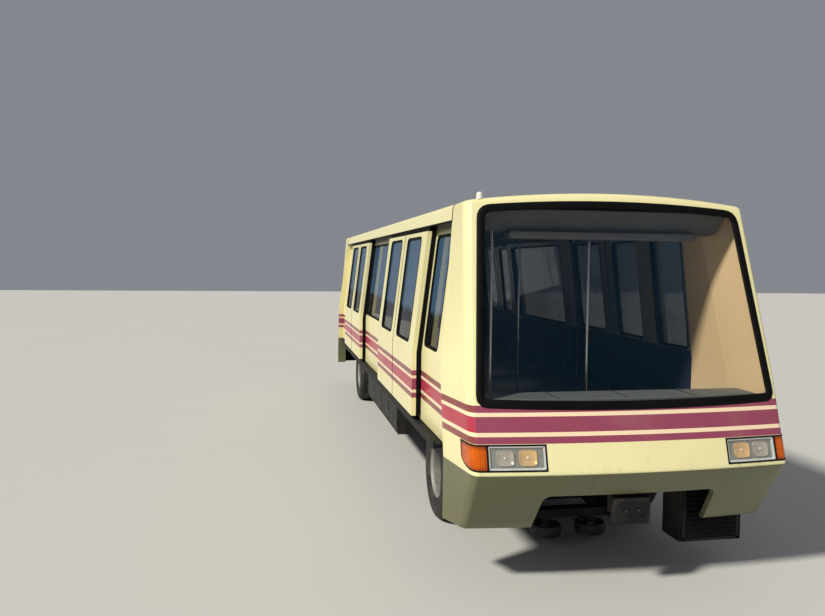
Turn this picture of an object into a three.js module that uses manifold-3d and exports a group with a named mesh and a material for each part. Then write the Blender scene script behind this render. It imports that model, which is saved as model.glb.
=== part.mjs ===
// Automated people mover car: a driverless, rubber-tyred guideway car with two end caps,
// recessed side walls, outside-hung bi-parting doors and two steered single-axle bogies.
// Millimetres. +X is the front end, +Y the car's left, +Z up. The origin is on the running
// surface under the middle of the car.
import * as THREE from 'three';
import { mergeVertices } from 'three/addons/utils/BufferGeometryUtils.js';
import Module from 'manifold-3d';

const wasm = await Module();
wasm.setup();

// Driving dimensions of the body
const HALF_LENGTH = 5770;
const HALF_WIDTH = 1420;
const CREASE_Z = 1060;
const WAIST_Z = 1750;
const TUMBLEHOME = 0.12;
const ROOF_TOP = 3263;
const ROOF_EDGE_Z = 3167;
const ROOF_CROWN = 63;
const ROOF_CROWN_HALF = 1115;
const SEAT = 0.3;

// Side walls, doors and what carries them
const RECESS = 100;
const WALL = 60;
const WALL_TOP = 3000;
const WINDOW = { bottom: 1840, top: 2930, radius: 65, middleRadius: 20 };
const PAIR_CENTRE = 2325;
const PAIR_GAP = 3;
const LEAF = { width: 1255, thickness: 48, bottom: 1100, top: 2985, outerStile: 265, glassWidth: 805 };
const DOORWAY_HALF = 1000;
const GLASS = { thickness: 8, inset: 16 };
const HEADER = { under: 20, plate: 22, skin: 12, lip: 10, skirtZ: 3030, railZ: 3050, rail: 14, railWidth: 40 };
const HANGER = { inset: 220, width: 80, depth: 46, plate: 14, footGap: 14, overlap: 20, top: 3090 };
const ROOF_SHOULDER = { inset: 50, chamfer: 14, drop: 15, rise: 6 };
const ROOF_HOLLOW = { half: 1040, haunchZ: 3150, flatHalf: 700, top: 3195 };

// End caps
const CAP = {
  rearX: 5050, rearLean: 0.22, rake: 0.303, bow: 79, bowHalf: 1300, shell: 50,
  cornerHalf: 1345, cornerTaper: 0.054, noseRadius: 38, noseTurn: 0.9, sideRadius: 172, sideTurn: 1.4,
  leastRadius: 5,
  skirtBottom: 530, skirtBack: 360, ceiling: 3130,
};
const WINDSCREEN = {
  bottomZ: 1555, bottomRise: 25, bottomHalf: 1251, bottomRadius: 60,
  topZ: 3165, topDrop: 50, topHalf: 1146, topRadius: 85,
};
const LAMP = { innerY: 755, backX: 5395, bottom: 1085, top: 1283, depth: 34, proud: 5 };
const CUTOUT = { topHalf: 735, bottomHalf: 767, topZ: 850, radius: 70 };
const WINDSCREEN_GLASS = { inset: 8, thickness: 12 };
const BENCH = { rearX: 5150, frontX: 5530, half: 1180, top: 1600, easing: 40 };
const COUPLER = {
  rootX: 5370, plate: 30, plateHalf: 260, plateBottom: 905, plateTop: 1050,
  postX: 5460, postHalf: 110, postBottom: 640, postTop: 1000,
  barHalf: 60, barBottom: 650, barTop: 760,
  headX: 5550, faceX: 5630, headHalf: 150, headBottom: 600, headTop: 810,
};

// Running gear
const AXLE_X = 3500;
const TYRE = { radius: 500, width: 285, innerY: 702, outerY: 1018, rim: 270, tread: 80 };
const HUB = { innerY: 560, outerY: 1040, dishY: 890, radius: 150, capRadius: 110 };
const GUIDE = { radius: 150, width: 100, centreZ: 120, x: 810, y: 225, crown: 8, web: 45 };
const BOGIE = {
  top: 880 - SEAT, plate: 40, plateRadius: 400,
  axleRadius: 90, flangeRadius: 130, gearRadius: 235, gearHalf: 110,
  motorX: -480, motorLength: 600, motorRadius: 180,
  beamInner: 380, beamOuter: 440, beamHalfLength: 900, frameBottom: 240, frameTop: 320,
  pedestalHalf: 130, barHalf: 60, middleBarX: 300, middleBarHalf: 30, pinRadius: 45,
};
const UNDERFRAME = {
  top: CREASE_Z - SEAT, bottom: 900, endX: 5040, sillOuter: HALF_WIDTH - RECESS, sillInner: 1200,
  beamInner: 300, beamOuter: 400, crossHalf: 50, weld: 5,
  bolsterHalf: 320, bolsterHalfWidth: 420, bolsterBottom: 880, noseX: 5370,
};
const DOOR_TRACK = { endX: 4600, bottom: 1010, top: 1050, lipBottom: 1040, lipTop: 1078, lip: 16, inset: 12 };
const FLOOR = { endX: 5672, top: 1150, sideGap: 2 };

// How far a cutting block runs past what it cuts, and where the end blocks begin and stop
const BEYOND = 60;
const END_ZONE = { rearX: 4000, frontX: 6000 };

// Colours and finishes
const paint = (color, roughness = 0.4, metalness = 0) =>
  new THREE.MeshStandardMaterial({ color, roughness, metalness });
const cream = paint(0xece3a2);
const paleCream = paint(0xf3ecc4);
const darkSteel = paint(0x3a3b3c, 0.6, 0.4);
const floorGrey = paint(0x6f6d68, 0.8);
const tintedGlass = paint(0x2b3435, 0.08);
const clearLens = paint(0xd9dad2, 0.15);
const tyreBlack = paint(0x1b1b1c, 0.85);
const benchBlue = paint(0x262d3f, 0.7);
const bareSteel = paint(0x8d8f90, 0.4, 0.8);

// Half width of the doors' and caps' outer surface at a height
function sideHalf(z) {
  return HALF_WIDTH - TUMBLEHOME * Math.max(0, z - WAIST_Z);
}

// Rear edge of the front cap at a height
function capRearX(z) {
  return CAP.rearX - CAP.rearLean * Math.max(0, z - CREASE_Z);
}

// Geometry to solid and back
function solid(geometry) {
  geometry.deleteAttribute('normal');
  geometry.deleteAttribute('uv');
  const merged = mergeVertices(geometry, 1e-4);
  return new wasm.Manifold(new wasm.Mesh({
    numProp: 3,
    vertProperties: Float32Array.from(merged.attributes.position.array),
    triVerts: Uint32Array.from(merged.index.array),
  }));
}

function geometryOf(manifold) {
  const mesh = manifold.getMesh();
  const geometry = new THREE.BufferGeometry();
  geometry.setAttribute('position', new THREE.BufferAttribute(mesh.vertProperties, 3));
  geometry.setIndex(new THREE.BufferAttribute(mesh.triVerts, 1));
  geometry.computeVertexNormals();
  return geometry;
}

// Extrusions along the three axes. A shape's two coordinates are (y, z), (x, z) and (x, y).
const alongX = new THREE.Matrix4().makeBasis(
  new THREE.Vector3(0, 1, 0), new THREE.Vector3(0, 0, 1), new THREE.Vector3(1, 0, 0));
const alongY = new THREE.Matrix4().makeBasis(
  new THREE.Vector3(1, 0, 0), new THREE.Vector3(0, 0, 1), new THREE.Vector3(0, -1, 0));

function polygon(points) {
  return new THREE.Shape(points.map(([u, v]) => new THREE.Vector2(u, v)));
}

function extruded(shape, depth, curveSegments) {
  return new THREE.ExtrudeGeometry(shape, { depth, bevelEnabled: false, curveSegments });
}

function prismX(shape, x0, x1, curveSegments = 5) {
  return solid(extruded(shape, x1 - x0, curveSegments).applyMatrix4(alongX).translate(x0, 0, 0));
}

function prismY(shape, y0, y1, curveSegments = 5) {
  return solid(extruded(shape, y1 - y0, curveSegments).applyMatrix4(alongY).translate(0, y1, 0));
}

function prismZ(shape, z0, z1, curveSegments = 5) {
  return solid(extruded(shape, z1 - z0, curveSegments).translate(0, 0, z0));
}

function box(x0, x1, y0, y1, z0, z1) {
  const geometry = new THREE.BoxGeometry(x1 - x0, y1 - y0, z1 - z0);
  return solid(geometry.translate((x0 + x1) / 2, (y0 + y1) / 2, (z0 + z1) / 2));
}

function cylinderZ(radius, x, y, z0, z1, segments = 12) {
  const geometry = new THREE.CylinderGeometry(radius, radius, z1 - z0, segments);
  return solid(geometry.rotateX(Math.PI / 2).translate(x, y, (z0 + z1) / 2));
}

function union(solids) {
  return solids.reduce((whole, piece) => whole.add(piece));
}

// Outline with rounded corners; each corner is [u, v, radius]
function roundedOutline(corners) {
  const shape = new THREE.Shape();
  const towards = (from, to, distance) => {
    const length = Math.hypot(to[0] - from[0], to[1] - from[1]);
    return [from[0] + (to[0] - from[0]) * distance / length, from[1] + (to[1] - from[1]) * distance / length];
  };
  corners.forEach((corner, index) => {
    const before = corners[(index + corners.length - 1) % corners.length];
    const after = corners[(index + 1) % corners.length];
    const start = towards(corner, before, corner[2]);
    const end = towards(corner, after, corner[2]);
    if (index === 0) shape.moveTo(...start);
    else shape.lineTo(...start);
    if (corner[2] > 0) shape.quadraticCurveTo(corner[0], corner[1], ...end);
  });
  shape.closePath();
  return shape;
}

function roundedRectangle(u0, u1, v0, v1, radius) {
  return roundedOutline([[u0, v0, radius], [u1, v0, radius], [u1, v1, radius], [u0, v1, radius]]);
}

// A strip of the body side between two depths below the outer surface: an outline in (y, z)
function sideStrip(side, outerDepth, innerDepth, z0, z1) {
  const bend = z0 < WAIST_Z && z1 > WAIST_Z ? [WAIST_Z] : [];
  const levels = [z0, ...bend, z1];
  const outer = levels.map((z) => [side * (sideHalf(z) - outerDepth), z]);
  const inner = levels.map((z) => [side * (sideHalf(z) - innerDepth), z]).reverse();
  return polygon([...outer, ...inner]);
}

function windowCutter(side, x0, x1, radius, shrink = 0) {
  const shape = roundedRectangle(x0 + shrink, x1 - shrink, WINDOW.bottom + shrink, WINDOW.top - shrink,
    radius - shrink);
  const [inner, outer] = [HALF_WIDTH / 2, HALF_WIDTH + BEYOND];
  return side > 0 ? prismY(shape, inner, outer) : prismY(shape, -outer, -inner);
}

// A pane that fills a side window, set back from the face that surrounds it
function sidePane(side, faceDepth, x0, x1, radius) {
  const depth = faceDepth + GLASS.inset;
  const [z0, z1] = [WINDOW.bottom - BEYOND, WINDOW.top + BEYOND];
  const section = sideStrip(side, depth, depth + GLASS.thickness, z0, z1);
  const strip = prismX(section, x0 - BEYOND, x1 + BEYOND);
  return strip.intersect(windowCutter(side, x0, x1, radius, SEAT));
}

const car = new THREE.Group();

// Adds a named mesh. A turned piece is the front end's piece, turned half way round for the rear.
function add(name, piece, material, turned = false) {
  const mesh = new THREE.Mesh(geometryOf(piece), material);
  mesh.name = name;
  if (turned) mesh.rotation.z = Math.PI;
  car.add(mesh);
  return mesh;
}

// How far the bowed end lies behind its middle at a distance from the centre line
function bowBack(y) {
  return CAP.bow * (y / CAP.bowHalf) ** 2;
}

// Plan outline whose front follows the bowed end, from rearX forwards
function bowedPlan(rearX, frontX, half) {
  const steps = 6;
  const front = [];
  for (let i = 0; i <= steps; i += 1) {
    const y = half * (2 * i / steps - 1);
    front.push([frontX - bowBack(y), y]);
  }
  return polygon([[rearX, -half], ...front, [rearX, half]]);
}

// Plan outline of a cap at a height, offset inwards from its outer surface by depth. Its corner
// is a tight bend at the nose that runs on in a wide one along the side.
function capRing(z, depth, rearX, rearHalf) {
  const slope = z >= CREASE_Z ? CAP.rake : CAP.skirtBack / (CREASE_Z - CAP.skirtBottom);
  const front = HALF_LENGTH - slope * Math.abs(z - CREASE_Z) - depth * Math.hypot(1, slope);
  const half = CAP.cornerHalf - CAP.cornerTaper * Math.max(0, z - WAIST_Z) - depth;
  const side = CAP.sideRadius - depth;
  const nose = Math.max(CAP.noseRadius - depth, CAP.leastRadius);
  const sideY = half - side;
  const noseY = sideY + (side - nose) * Math.sin(CAP.noseTurn);
  const startTurn = Math.atan(2 * CAP.bow * noseY / CAP.bowHalf ** 2);
  const startY = noseY + nose * Math.sin(startTurn);
  const noseX = front - bowBack(startY) - nose * Math.cos(startTurn);
  const sideX = noseX - (side - nose) * Math.cos(CAP.noseTurn);
  const bowSteps = 6;
  const noseSteps = 2;
  const sideSteps = 3;
  const halfRing = [];
  for (let i = 0; i <= bowSteps; i += 1) {
    const y = startY * i / bowSteps;
    halfRing.push([front - bowBack(y), y]);
  }
  for (let i = 1; i <= noseSteps; i += 1) {
    const angle = startTurn + (CAP.noseTurn - startTurn) * i / noseSteps;
    halfRing.push([noseX + nose * Math.cos(angle), noseY + nose * Math.sin(angle)]);
  }
  for (let i = 1; i <= sideSteps; i += 1) {
    const angle = CAP.noseTurn + (CAP.sideTurn - CAP.noseTurn) * i / sideSteps;
    halfRing.push([sideX + side * Math.cos(angle), sideY + side * Math.sin(angle)]);
  }
  halfRing.push([rearX, rearHalf]);
  const mirrored = halfRing.slice(1).reverse().map(([x, y]) => [x, -y]);
  return [...mirrored, ...halfRing].map(([x, y]) => new THREE.Vector3(x, y, z));
}

// A closed solid through stacked rings of the same point count, lowest ring first
function loft(rings) {
  const count = rings[0].length;
  const positions = rings.flat().flatMap((point) => [point.x, point.y, point.z]);
  const faces = [];
  for (let level = 0; level + 1 < rings.length; level += 1) {
    for (let i = 0; i < count; i += 1) {
      const a = level * count + i;
      const b = level * count + (i + 1) % count;
      faces.push(a, b, b + count, a, b + count, a + count);
    }
  }
  const outline = rings[0].map((point) => new THREE.Vector2(point.x, point.y));
  const last = (rings.length - 1) * count;
  for (const [a, b, c] of THREE.ShapeUtils.triangulateShape(outline, [])) {
    faces.push(c, b, a, last + a, last + b, last + c);
  }
  const geometry = new THREE.BufferGeometry();
  geometry.setAttribute('position', new THREE.Float32BufferAttribute(positions, 3));
  geometry.setIndex(faces);
  return solid(geometry);
}

// The cap's block, offset inwards by depth. The block of an inner face runs out of the cap's
// bottom and rear, and stops at the ceiling.
function capBlock(depth, isInner) {
  const levels = isInner
    ? [CAP.skirtBottom - BEYOND, CREASE_Z, WAIST_Z, CAP.ceiling]
    : [CAP.skirtBottom, CREASE_Z, WAIST_Z, ROOF_TOP + BEYOND];
  return loft(levels.map((z) => {
    const rearX = capRearX(z) - (isInner ? BEYOND : 0);
    const inwards = isInner ? RECESS + WALL : 0;
    return capRing(z, depth, rearX, sideHalf(z) - inwards - (isInner ? 0 : depth));
  }));
}

// Section of the roof, from its crown to a flat bottom: an outline in (y, z)
function roofOutline(depth, bottomZ) {
  const steps = 10;
  const { inset, chamfer, drop, rise } = ROOF_SHOULDER;
  const shoulder = sideHalf(ROOF_EDGE_Z) - depth;
  const edgeZ = ROOF_EDGE_Z - depth;
  const crown = [];
  for (let i = 0; i <= steps; i += 1) {
    const y = (shoulder - inset) * (1 - 2 * i / steps);
    crown.push([y, ROOF_TOP - depth - ROOF_CROWN * (y / ROOF_CROWN_HALF) ** 2]);
  }
  return polygon([
    [shoulder, bottomZ], [shoulder, edgeZ - drop], [shoulder - chamfer, edgeZ + rise], ...crown,
    [chamfer - shoulder, edgeZ + rise], [-shoulder, edgeZ - drop], [-shoulder, bottomZ]]);
}

// All that lies under the roof's surface at an end, as wide as needed below the roof's edge
function underRoof(bottomZ) {
  const wide = HALF_WIDTH + BEYOND;
  const edgeZ = ROOF_EDGE_Z - ROOF_SHOULDER.drop;
  const shoulderZ = edgeZ - 2 * BEYOND;
  const body = polygon([
    [-wide, bottomZ], [wide, bottomZ], [wide, shoulderZ], [sideHalf(edgeZ), edgeZ], [-sideHalf(edgeZ), edgeZ],
    [-wide, shoulderZ]]);
  const crown = roofOutline(0, shoulderZ);
  return union([body, crown].map((outline) => prismX(outline, END_ZONE.rearX, END_ZONE.frontX)));
}

function windscreenOutline(shrink) {
  const w = WINDSCREEN;
  return roundedOutline([
    [-w.bottomHalf + shrink, w.bottomZ + w.bottomRise + shrink, w.bottomRadius - shrink],
    [0, w.bottomZ + shrink, 40],
    [w.bottomHalf - shrink, w.bottomZ + w.bottomRise + shrink, w.bottomRadius - shrink],
    [w.topHalf - shrink, w.topZ - w.topDrop - shrink, w.topRadius - shrink],
    [0, w.topZ - shrink, 40],
    [-w.topHalf + shrink, w.topZ - w.topDrop - shrink, w.topRadius - shrink],
  ]);
}

function lampZone(side, grow) {
  const y0 = LAMP.innerY - grow;
  const y1 = HALF_WIDTH + BEYOND;
  const zone = side > 0 ? [y0, y1] : [-y1, -y0];
  return box(LAMP.backX - grow, HALF_LENGTH + BEYOND, ...zone, LAMP.bottom - grow, LAMP.top + grow);
}

// End caps with windscreen, lamp units and front bench, made once for the front and turned for the rear
function endPieces() {
  const alongEnd = (outline) => prismX(outline, END_ZONE.rearX, END_ZONE.frontX);
  const cutout = prismX(roundedOutline([
    [-CUTOUT.bottomHalf, CAP.skirtBottom - BEYOND, 0], [CUTOUT.bottomHalf, CAP.skirtBottom - BEYOND, 0],
    [CUTOUT.topHalf, CUTOUT.topZ, CUTOUT.radius], [-CUTOUT.topHalf, CUTOUT.topZ, CUTOUT.radius]]),
  UNDERFRAME.endX + BEYOND, END_ZONE.frontX);
  const recess = capBlock(-BEYOND, false).subtract(capBlock(LAMP.depth + SEAT, false));
  const outer = capBlock(0, false).intersect(underRoof(CAP.skirtBottom));
  const shell = outer.subtract(capBlock(CAP.shell, true)).subtract(alongEnd(windscreenOutline(0)))
    .subtract(cutout).subtract(recess.intersect(lampZone(-1, 0))).subtract(recess.intersect(lampZone(1, 0)));
  const lamp = capBlock(-LAMP.proud, false).subtract(capBlock(LAMP.depth, false));
  const lamps = { right: lamp.intersect(lampZone(-1, -SEAT)), left: lamp.intersect(lampZone(1, -SEAT)) };
  const { inset, thickness } = WINDSCREEN_GLASS;
  const glass = capBlock(inset, false).subtract(capBlock(inset + thickness, false))
    .intersect(alongEnd(windscreenOutline(SEAT)));
  const { rearX, frontX, half, top, easing } = BENCH;
  const benchBottom = FLOOR.top + SEAT;
  const benchSide = prismY(roundedOutline([
    [rearX, benchBottom, 0], [HALF_LENGTH, benchBottom, 0], [HALF_LENGTH, top, 0], [rearX, top, easing]]),
  -half, half);
  const bench = benchSide.intersect(prismZ(bowedPlan(rearX - BEYOND, frontX, half), benchBottom, top));
  return { shell, lamps, glass, bench };
}

const end = endPieces();
for (const [where, turned] of [['front', false], ['rear', true]]) {
  add(`${where}_cap`, end.shell, cream, turned);
  add(`${where}_windscreen`, end.glass, tintedGlass, turned);
  add(`${where}_bench`, end.bench, benchBlue, turned);
  for (const side of ['right', 'left']) {
    const builtSide = turned ? { right: 'left', left: 'right' }[side] : side;
    add(`${where}_lamp_${side}`, end.lamps[builtSide], clearLens, turned);
  }
}

// Roof between the caps: a crowned shell on the two headers
function roofSolid() {
  const { half, haunchZ, flatHalf, top } = ROOF_HOLLOW;
  const bottom = ROOF_EDGE_Z - HEADER.under;
  const outer = prismX(roofOutline(SEAT, bottom), -HALF_LENGTH, HALF_LENGTH);
  const hollow = prismX(polygon([
    [-half, WALL_TOP], [half, WALL_TOP], [half, haunchZ],
    [flatHalf, top], [-flatHalf, top], [-half, haunchZ]]), -HALF_LENGTH, HALF_LENGTH);
  return outer.intersect(leaningEnds(bottom - BEYOND, ROOF_TOP + BEYOND)).subtract(hollow);
}
add('roof', roofSolid(), paleCream);

// Headers: cantrail, top plate and outer skin, an open channel in which the door hangers run on a rail
const railTop = HEADER.railZ + HEADER.rail;
const cantrailOuter = sideHalf(WALL_TOP) - RECESS;

function headerSection(side) {
  const top = ROOF_EDGE_Z - HEADER.under - SEAT;
  const skin = sideHalf(top);
  const skirt = sideHalf(HEADER.skirtZ);
  const railEdge = cantrailOuter + HEADER.railWidth;
  const points = [
    [cantrailOuter - WALL, WALL_TOP + SEAT], [cantrailOuter, WALL_TOP + SEAT], [cantrailOuter, HEADER.railZ],
    [railEdge, HEADER.railZ], [railEdge, railTop], [cantrailOuter, railTop],
    [cantrailOuter, top - HEADER.plate], [skin - HEADER.skin, top - HEADER.plate],
    [skirt - HEADER.lip, HEADER.skirtZ], [skirt, HEADER.skirtZ], [skin, top], [cantrailOuter - WALL, top],
  ];
  return polygon(points.map(([y, z]) => [side * y, z]));
}

// All that lies between the two caps' leaning rear edges
function leaningEnds(z0, z1) {
  const shape = polygon([
    [-capRearX(z0) + SEAT, z0], [capRearX(z0) - SEAT, z0],
    [capRearX(z1) - SEAT, z1], [-capRearX(z1) + SEAT, z1]]);
  return prismY(shape, -HALF_WIDTH - BEYOND, HALF_WIDTH + BEYOND);
}

// Wall panels between the doorways: [name, front edge x, rear edge x, window front x, window rear x,
// window corner radius].
// The front and rear panels end at the leaning edge of their cap.
const doorwayFront = PAIR_CENTRE + DOORWAY_HALF;
const doorwayRear = PAIR_CENTRE - DOORWAY_HALF;
const wallPanels = [
  ['front', 5060, doorwayFront, 4260, 3660, WINDOW.radius],
  ['middle', doorwayRear, -doorwayRear, 1080, -1080, WINDOW.middleRadius],
  ['rear', -doorwayFront, -5060, -3660, -4260, WINDOW.radius],
];
const sides = [['right', -1], ['left', 1]];
for (const [sideName, side] of sides) {
  const header = prismX(headerSection(side), -HALF_LENGTH, HALF_LENGTH);
  add(`header_${sideName}`, header.intersect(leaningEnds(WALL_TOP - BEYOND, ROOF_TOP)), paleCream);
  for (const [name, x1, x0, w1, w0, radius] of wallPanels) {
    const strip = prismX(sideStrip(side, RECESS, RECESS + WALL, CREASE_Z, WALL_TOP), x0, x1)
      .intersect(leaningEnds(CREASE_Z - BEYOND, WALL_TOP + BEYOND));
    add(`wall_${name}_${sideName}`, strip.subtract(windowCutter(side, w0, w1, radius)), cream);
    add(`glass_${name}_${sideName}`, sidePane(side, RECESS, w0, w1, radius), tintedGlass);
  }
}

// Door leaves: [name, outer edge x, direction from the outer edge to the meeting edge]
const leaves = [
  ['a', PAIR_CENTRE + PAIR_GAP + LEAF.width, -1],
  ['b', PAIR_CENTRE - PAIR_GAP - LEAF.width, 1],
  ['c', -PAIR_CENTRE + PAIR_GAP + LEAF.width, -1],
  ['d', -PAIR_CENTRE - PAIR_GAP - LEAF.width, 1],
];
function leafSolid(side, x0, x1, w0, w1) {
  const panel = prismX(sideStrip(side, 0, LEAF.thickness, LEAF.bottom, LEAF.top), x0, x1);
  const plate = sideHalf(LEAF.top) - HANGER.depth;
  const foot = cantrailOuter + HANGER.footGap;
  const outline = [
    [plate, LEAF.top - HANGER.overlap], [plate + HANGER.plate, LEAF.top - HANGER.overlap],
    [plate + HANGER.plate, HANGER.top], [foot, HANGER.top], [foot, railTop + SEAT], [plate, railTop + SEAT]];
  const section = polygon(outline.map(([y, z]) => [side * y, z]));
  const hangers = [x0 + HANGER.inset, x1 - HANGER.inset - HANGER.width]
    .map((x) => prismX(section, x, x + HANGER.width));
  return union([panel, ...hangers]).subtract(windowCutter(side, w0, w1, WINDOW.radius));
}
for (const [sideName, side] of sides) {
  for (const [name, outerX, inwards] of leaves) {
    const x0 = Math.min(outerX, outerX + inwards * LEAF.width);
    const wa = outerX + inwards * LEAF.outerStile;
    const wb = wa + inwards * LEAF.glassWidth;
    const [w0, w1] = [Math.min(wa, wb), Math.max(wa, wb)];
    add(`door_${name}_${sideName}`, leafSolid(side, x0, x0 + LEAF.width, w0, w1), cream);
    add(`door_glass_${name}_${sideName}`, sidePane(side, 0, w0, w1, WINDOW.radius), tintedGlass);
  }
}

// Floor, and the underframe with its sills, centre beams, crossmembers, door tracks and hung boxes
const floorHalf = HALF_WIDTH - RECESS - WALL - FLOOR.sideGap;
const floorFront = prismZ(bowedPlan(-AXLE_X, FLOOR.endX, floorHalf), CREASE_Z, FLOOR.top);
add('floor', floorFront.add(floorFront.rotate([0, 0, 180])), floorGrey);

const crossmembers = [600, 1750, 2950, 4050, 4990];
// Boxes hung under the floor: [front x, rear x, inner y, outer y, bottom z]
const hungBoxes = [
  [1500, -1500, 640, 1205, 430],
  [1500, -1500, -1205, -640, 430],
  [5250, 4960, 630, 1210, 280],
];
function underframeSolid() {
  const frame = UNDERFRAME;
  const track = DOOR_TRACK;
  const { top, bottom, endX } = frame;
  const trackOuter = HALF_WIDTH - track.inset;
  const pieces = [];
  for (const side of [-1, 1]) {
    const lane = (inner, outer) => (side > 0 ? [inner, outer] : [-outer, -inner]);
    pieces.push(box(-endX, endX, ...lane(frame.sillInner, frame.sillOuter), bottom, top));
    pieces.push(box(-endX, endX, ...lane(frame.beamInner, frame.beamOuter), bottom, top));
    const tread = lane(frame.sillOuter - frame.weld, trackOuter);
    pieces.push(box(-track.endX, track.endX, ...tread, track.bottom, track.top));
    const lip = lane(trackOuter - track.lip, trackOuter);
    pieces.push(box(-track.endX, track.endX, ...lip, track.lipBottom, track.lipTop));
  }
  const crossEnd = frame.sillInner + frame.weld;
  for (const x of crossmembers.flatMap((value) => [value, -value])) {
    pieces.push(box(x - frame.crossHalf, x + frame.crossHalf, -crossEnd, crossEnd, bottom, top));
  }
  for (const sign of [-1, 1]) {
    const x = sign * AXLE_X;
    const [half, halfWidth] = [frame.bolsterHalf, frame.bolsterHalfWidth];
    pieces.push(box(x - half, x + half, -halfWidth, halfWidth, frame.bolsterBottom, bottom + frame.weld));
    const nose = [sign * (endX - frame.weld), sign * frame.noseX].sort((a, b) => a - b);
    pieces.push(box(...nose, -frame.beamOuter, frame.beamOuter, bottom, top));
  }
  for (const [x1, x0, y0, y1, z0] of hungBoxes) pieces.push(box(x0, x1, y0, y1, z0, bottom + frame.weld));
  return union(pieces);
}
add('underframe', underframeSolid(), darkSteel);

// Couplers: a drawbar on the end of the centre beams with a flat square head
function couplerSolid() {
  const c = COUPLER;
  const root = c.rootX + SEAT;
  const overlap = 10;
  return union([
    box(root, root + c.plate, -c.plateHalf, c.plateHalf, c.plateBottom, c.plateTop),
    box(root + c.plate - overlap, c.postX, -c.postHalf, c.postHalf, c.postBottom, c.postTop),
    box(c.postX - overlap, c.headX + overlap, -c.barHalf, c.barHalf, c.barBottom, c.barTop),
    box(c.headX, c.faceX, -c.headHalf, c.headHalf, c.headBottom, c.headTop),
  ]);
}
add('front_coupler', couplerSolid(), darkSteel);
add('rear_coupler', couplerSolid(), darkSteel, true);

// Running gear. A lathe profile is [radius, distance along the axle].
function latheY(profile, segments, z = 0) {
  const points = profile.map(([radius, y]) => new THREE.Vector2(radius, y));
  return solid(new THREE.LatheGeometry(points, segments).translate(0, 0, z));
}

function twinWheel() {
  const half = TYRE.width / 2;
  const { radius, rim, tread } = TYRE;
  const bead = 30;
  const tyre = (y) => [
    [rim, y - half + bead], [rim + 50, y - half + 3], [radius - tread, y - half], [radius - 20, y - half + 28],
    [radius, y - half + tread], [radius, y + half - tread],
    [radius - 20, y + half - 28], [radius - tread, y + half], [rim + 50, y + half - 3], [rim, y + half - bead],
  ];
  const hub = HUB;
  return latheY([
    [0, hub.innerY], [hub.radius, hub.innerY], [hub.radius + 15, hub.innerY + 60], [rim - 20, hub.innerY + 80],
    ...tyre(TYRE.innerY), ...tyre(TYRE.outerY),
    [rim - 20, TYRE.outerY + half - 40], [rim - 45, hub.dishY + 10], [hub.radius, hub.dishY],
    [hub.radius, hub.outerY - 40], [hub.capRadius, hub.outerY], [0, hub.outerY]], 20);
}

// One axle with its gear case and motor under a slewing plate, in a frame that carries the guide wheels
function bogieSolid() {
  const b = BOGIE;
  const end = HUB.innerY - SEAT;
  const axle = latheY([
    [0, -end], [b.flangeRadius, -end], [b.flangeRadius, 40 - end], [b.axleRadius, 60 - end],
    [b.axleRadius, -b.gearHalf - 150], [b.gearRadius, -b.gearHalf], [b.gearRadius, b.gearHalf],
    [b.axleRadius, b.gearHalf + 150], [b.axleRadius, end - 60],
    [b.flangeRadius, end - 40], [b.flangeRadius, end], [0, end]], 16, TYRE.radius);
  const motor = new THREE.CylinderGeometry(b.motorRadius, b.motorRadius, b.motorLength, 16)
    .rotateZ(Math.PI / 2).translate(b.motorX, 0, TYRE.radius);
  const pieces = [axle, solid(motor), cylinderZ(b.plateRadius, 0, 0, b.top - b.plate, b.top, 24)];
  const reach = b.plateRadius;
  const crossbar = (x, half, top) => box(x - half, x + half, -reach, reach, b.frameBottom, top);
  for (const side of [-1, 1]) {
    const lane = side > 0 ? [b.beamInner, b.beamOuter] : [-b.beamOuter, -b.beamInner];
    pieces.push(box(-b.pedestalHalf, b.pedestalHalf, ...lane, b.frameBottom, b.top - b.plate / 2));
    pieces.push(box(-b.beamHalfLength, b.beamHalfLength, ...lane, b.frameBottom, b.frameTop));
    pieces.push(crossbar(GUIDE.x * side, b.barHalf, b.frameTop));
    pieces.push(crossbar(b.middleBarX * side, b.middleBarHalf, b.frameTop + 5));
    for (const y of [-GUIDE.y, GUIDE.y]) {
      const pinBottom = GUIDE.centreZ + GUIDE.width / 2 + SEAT;
      pieces.push(cylinderZ(b.pinRadius, GUIDE.x * side, y, pinBottom, b.frameBottom + 20));
    }
  }
  return union(pieces);
}

function guideWheel() {
  const { radius, width, crown, web } = GUIDE;
  const half = width / 2;
  const points = [[0, -half], [radius - web, -half], [radius - crown, crown - half], [radius, 0],
    [radius - crown, half - crown], [radius - web, half], [0, half]];
  const profile = points.map(([r, z]) => new THREE.Vector2(r, z));
  return solid(new THREE.LatheGeometry(profile, 16).rotateX(Math.PI / 2));
}

const wheel = twinWheel();
const bogie = bogieSolid();
const roller = guideWheel();
for (const [where, sign] of [['front', 1], ['rear', -1]]) {
  add(`${where}_bogie`, bogie, darkSteel).position.set(sign * AXLE_X, 0, 0);
  for (const [sideName, side] of sides) {
    const twin = add(`${where}_wheel_${sideName}`, wheel, tyreBlack);
    twin.position.set(sign * AXLE_X, 0, TYRE.radius);
    if (side < 0) twin.rotation.x = Math.PI;
    for (const [lead, way] of [['lead', 1], ['trail', -1]]) {
      const guide = add(`${where}_guide_${lead}_${sideName}`, roller, bareSteel);
      guide.position.set(sign * AXLE_X + way * GUIDE.x, side * GUIDE.y, GUIDE.centreZ);
    }
  }
}

export default car;
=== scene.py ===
"""Looks of an automated people mover car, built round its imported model.

Everything is in metres in the model's own frame: +X is the front end, +Y the car's left and +Z up,
and the origin is on the running surface under the middle of the car.
"""

import logging
import math
from dataclasses import dataclass
from enum import Enum, IntEnum
from functools import cached_property
from typing import Callable, Iterable, Sequence

import bmesh
import bpy
from bpy.types import Material, NodeSocket, Object
from mathutils import Matrix, Vector


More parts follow.
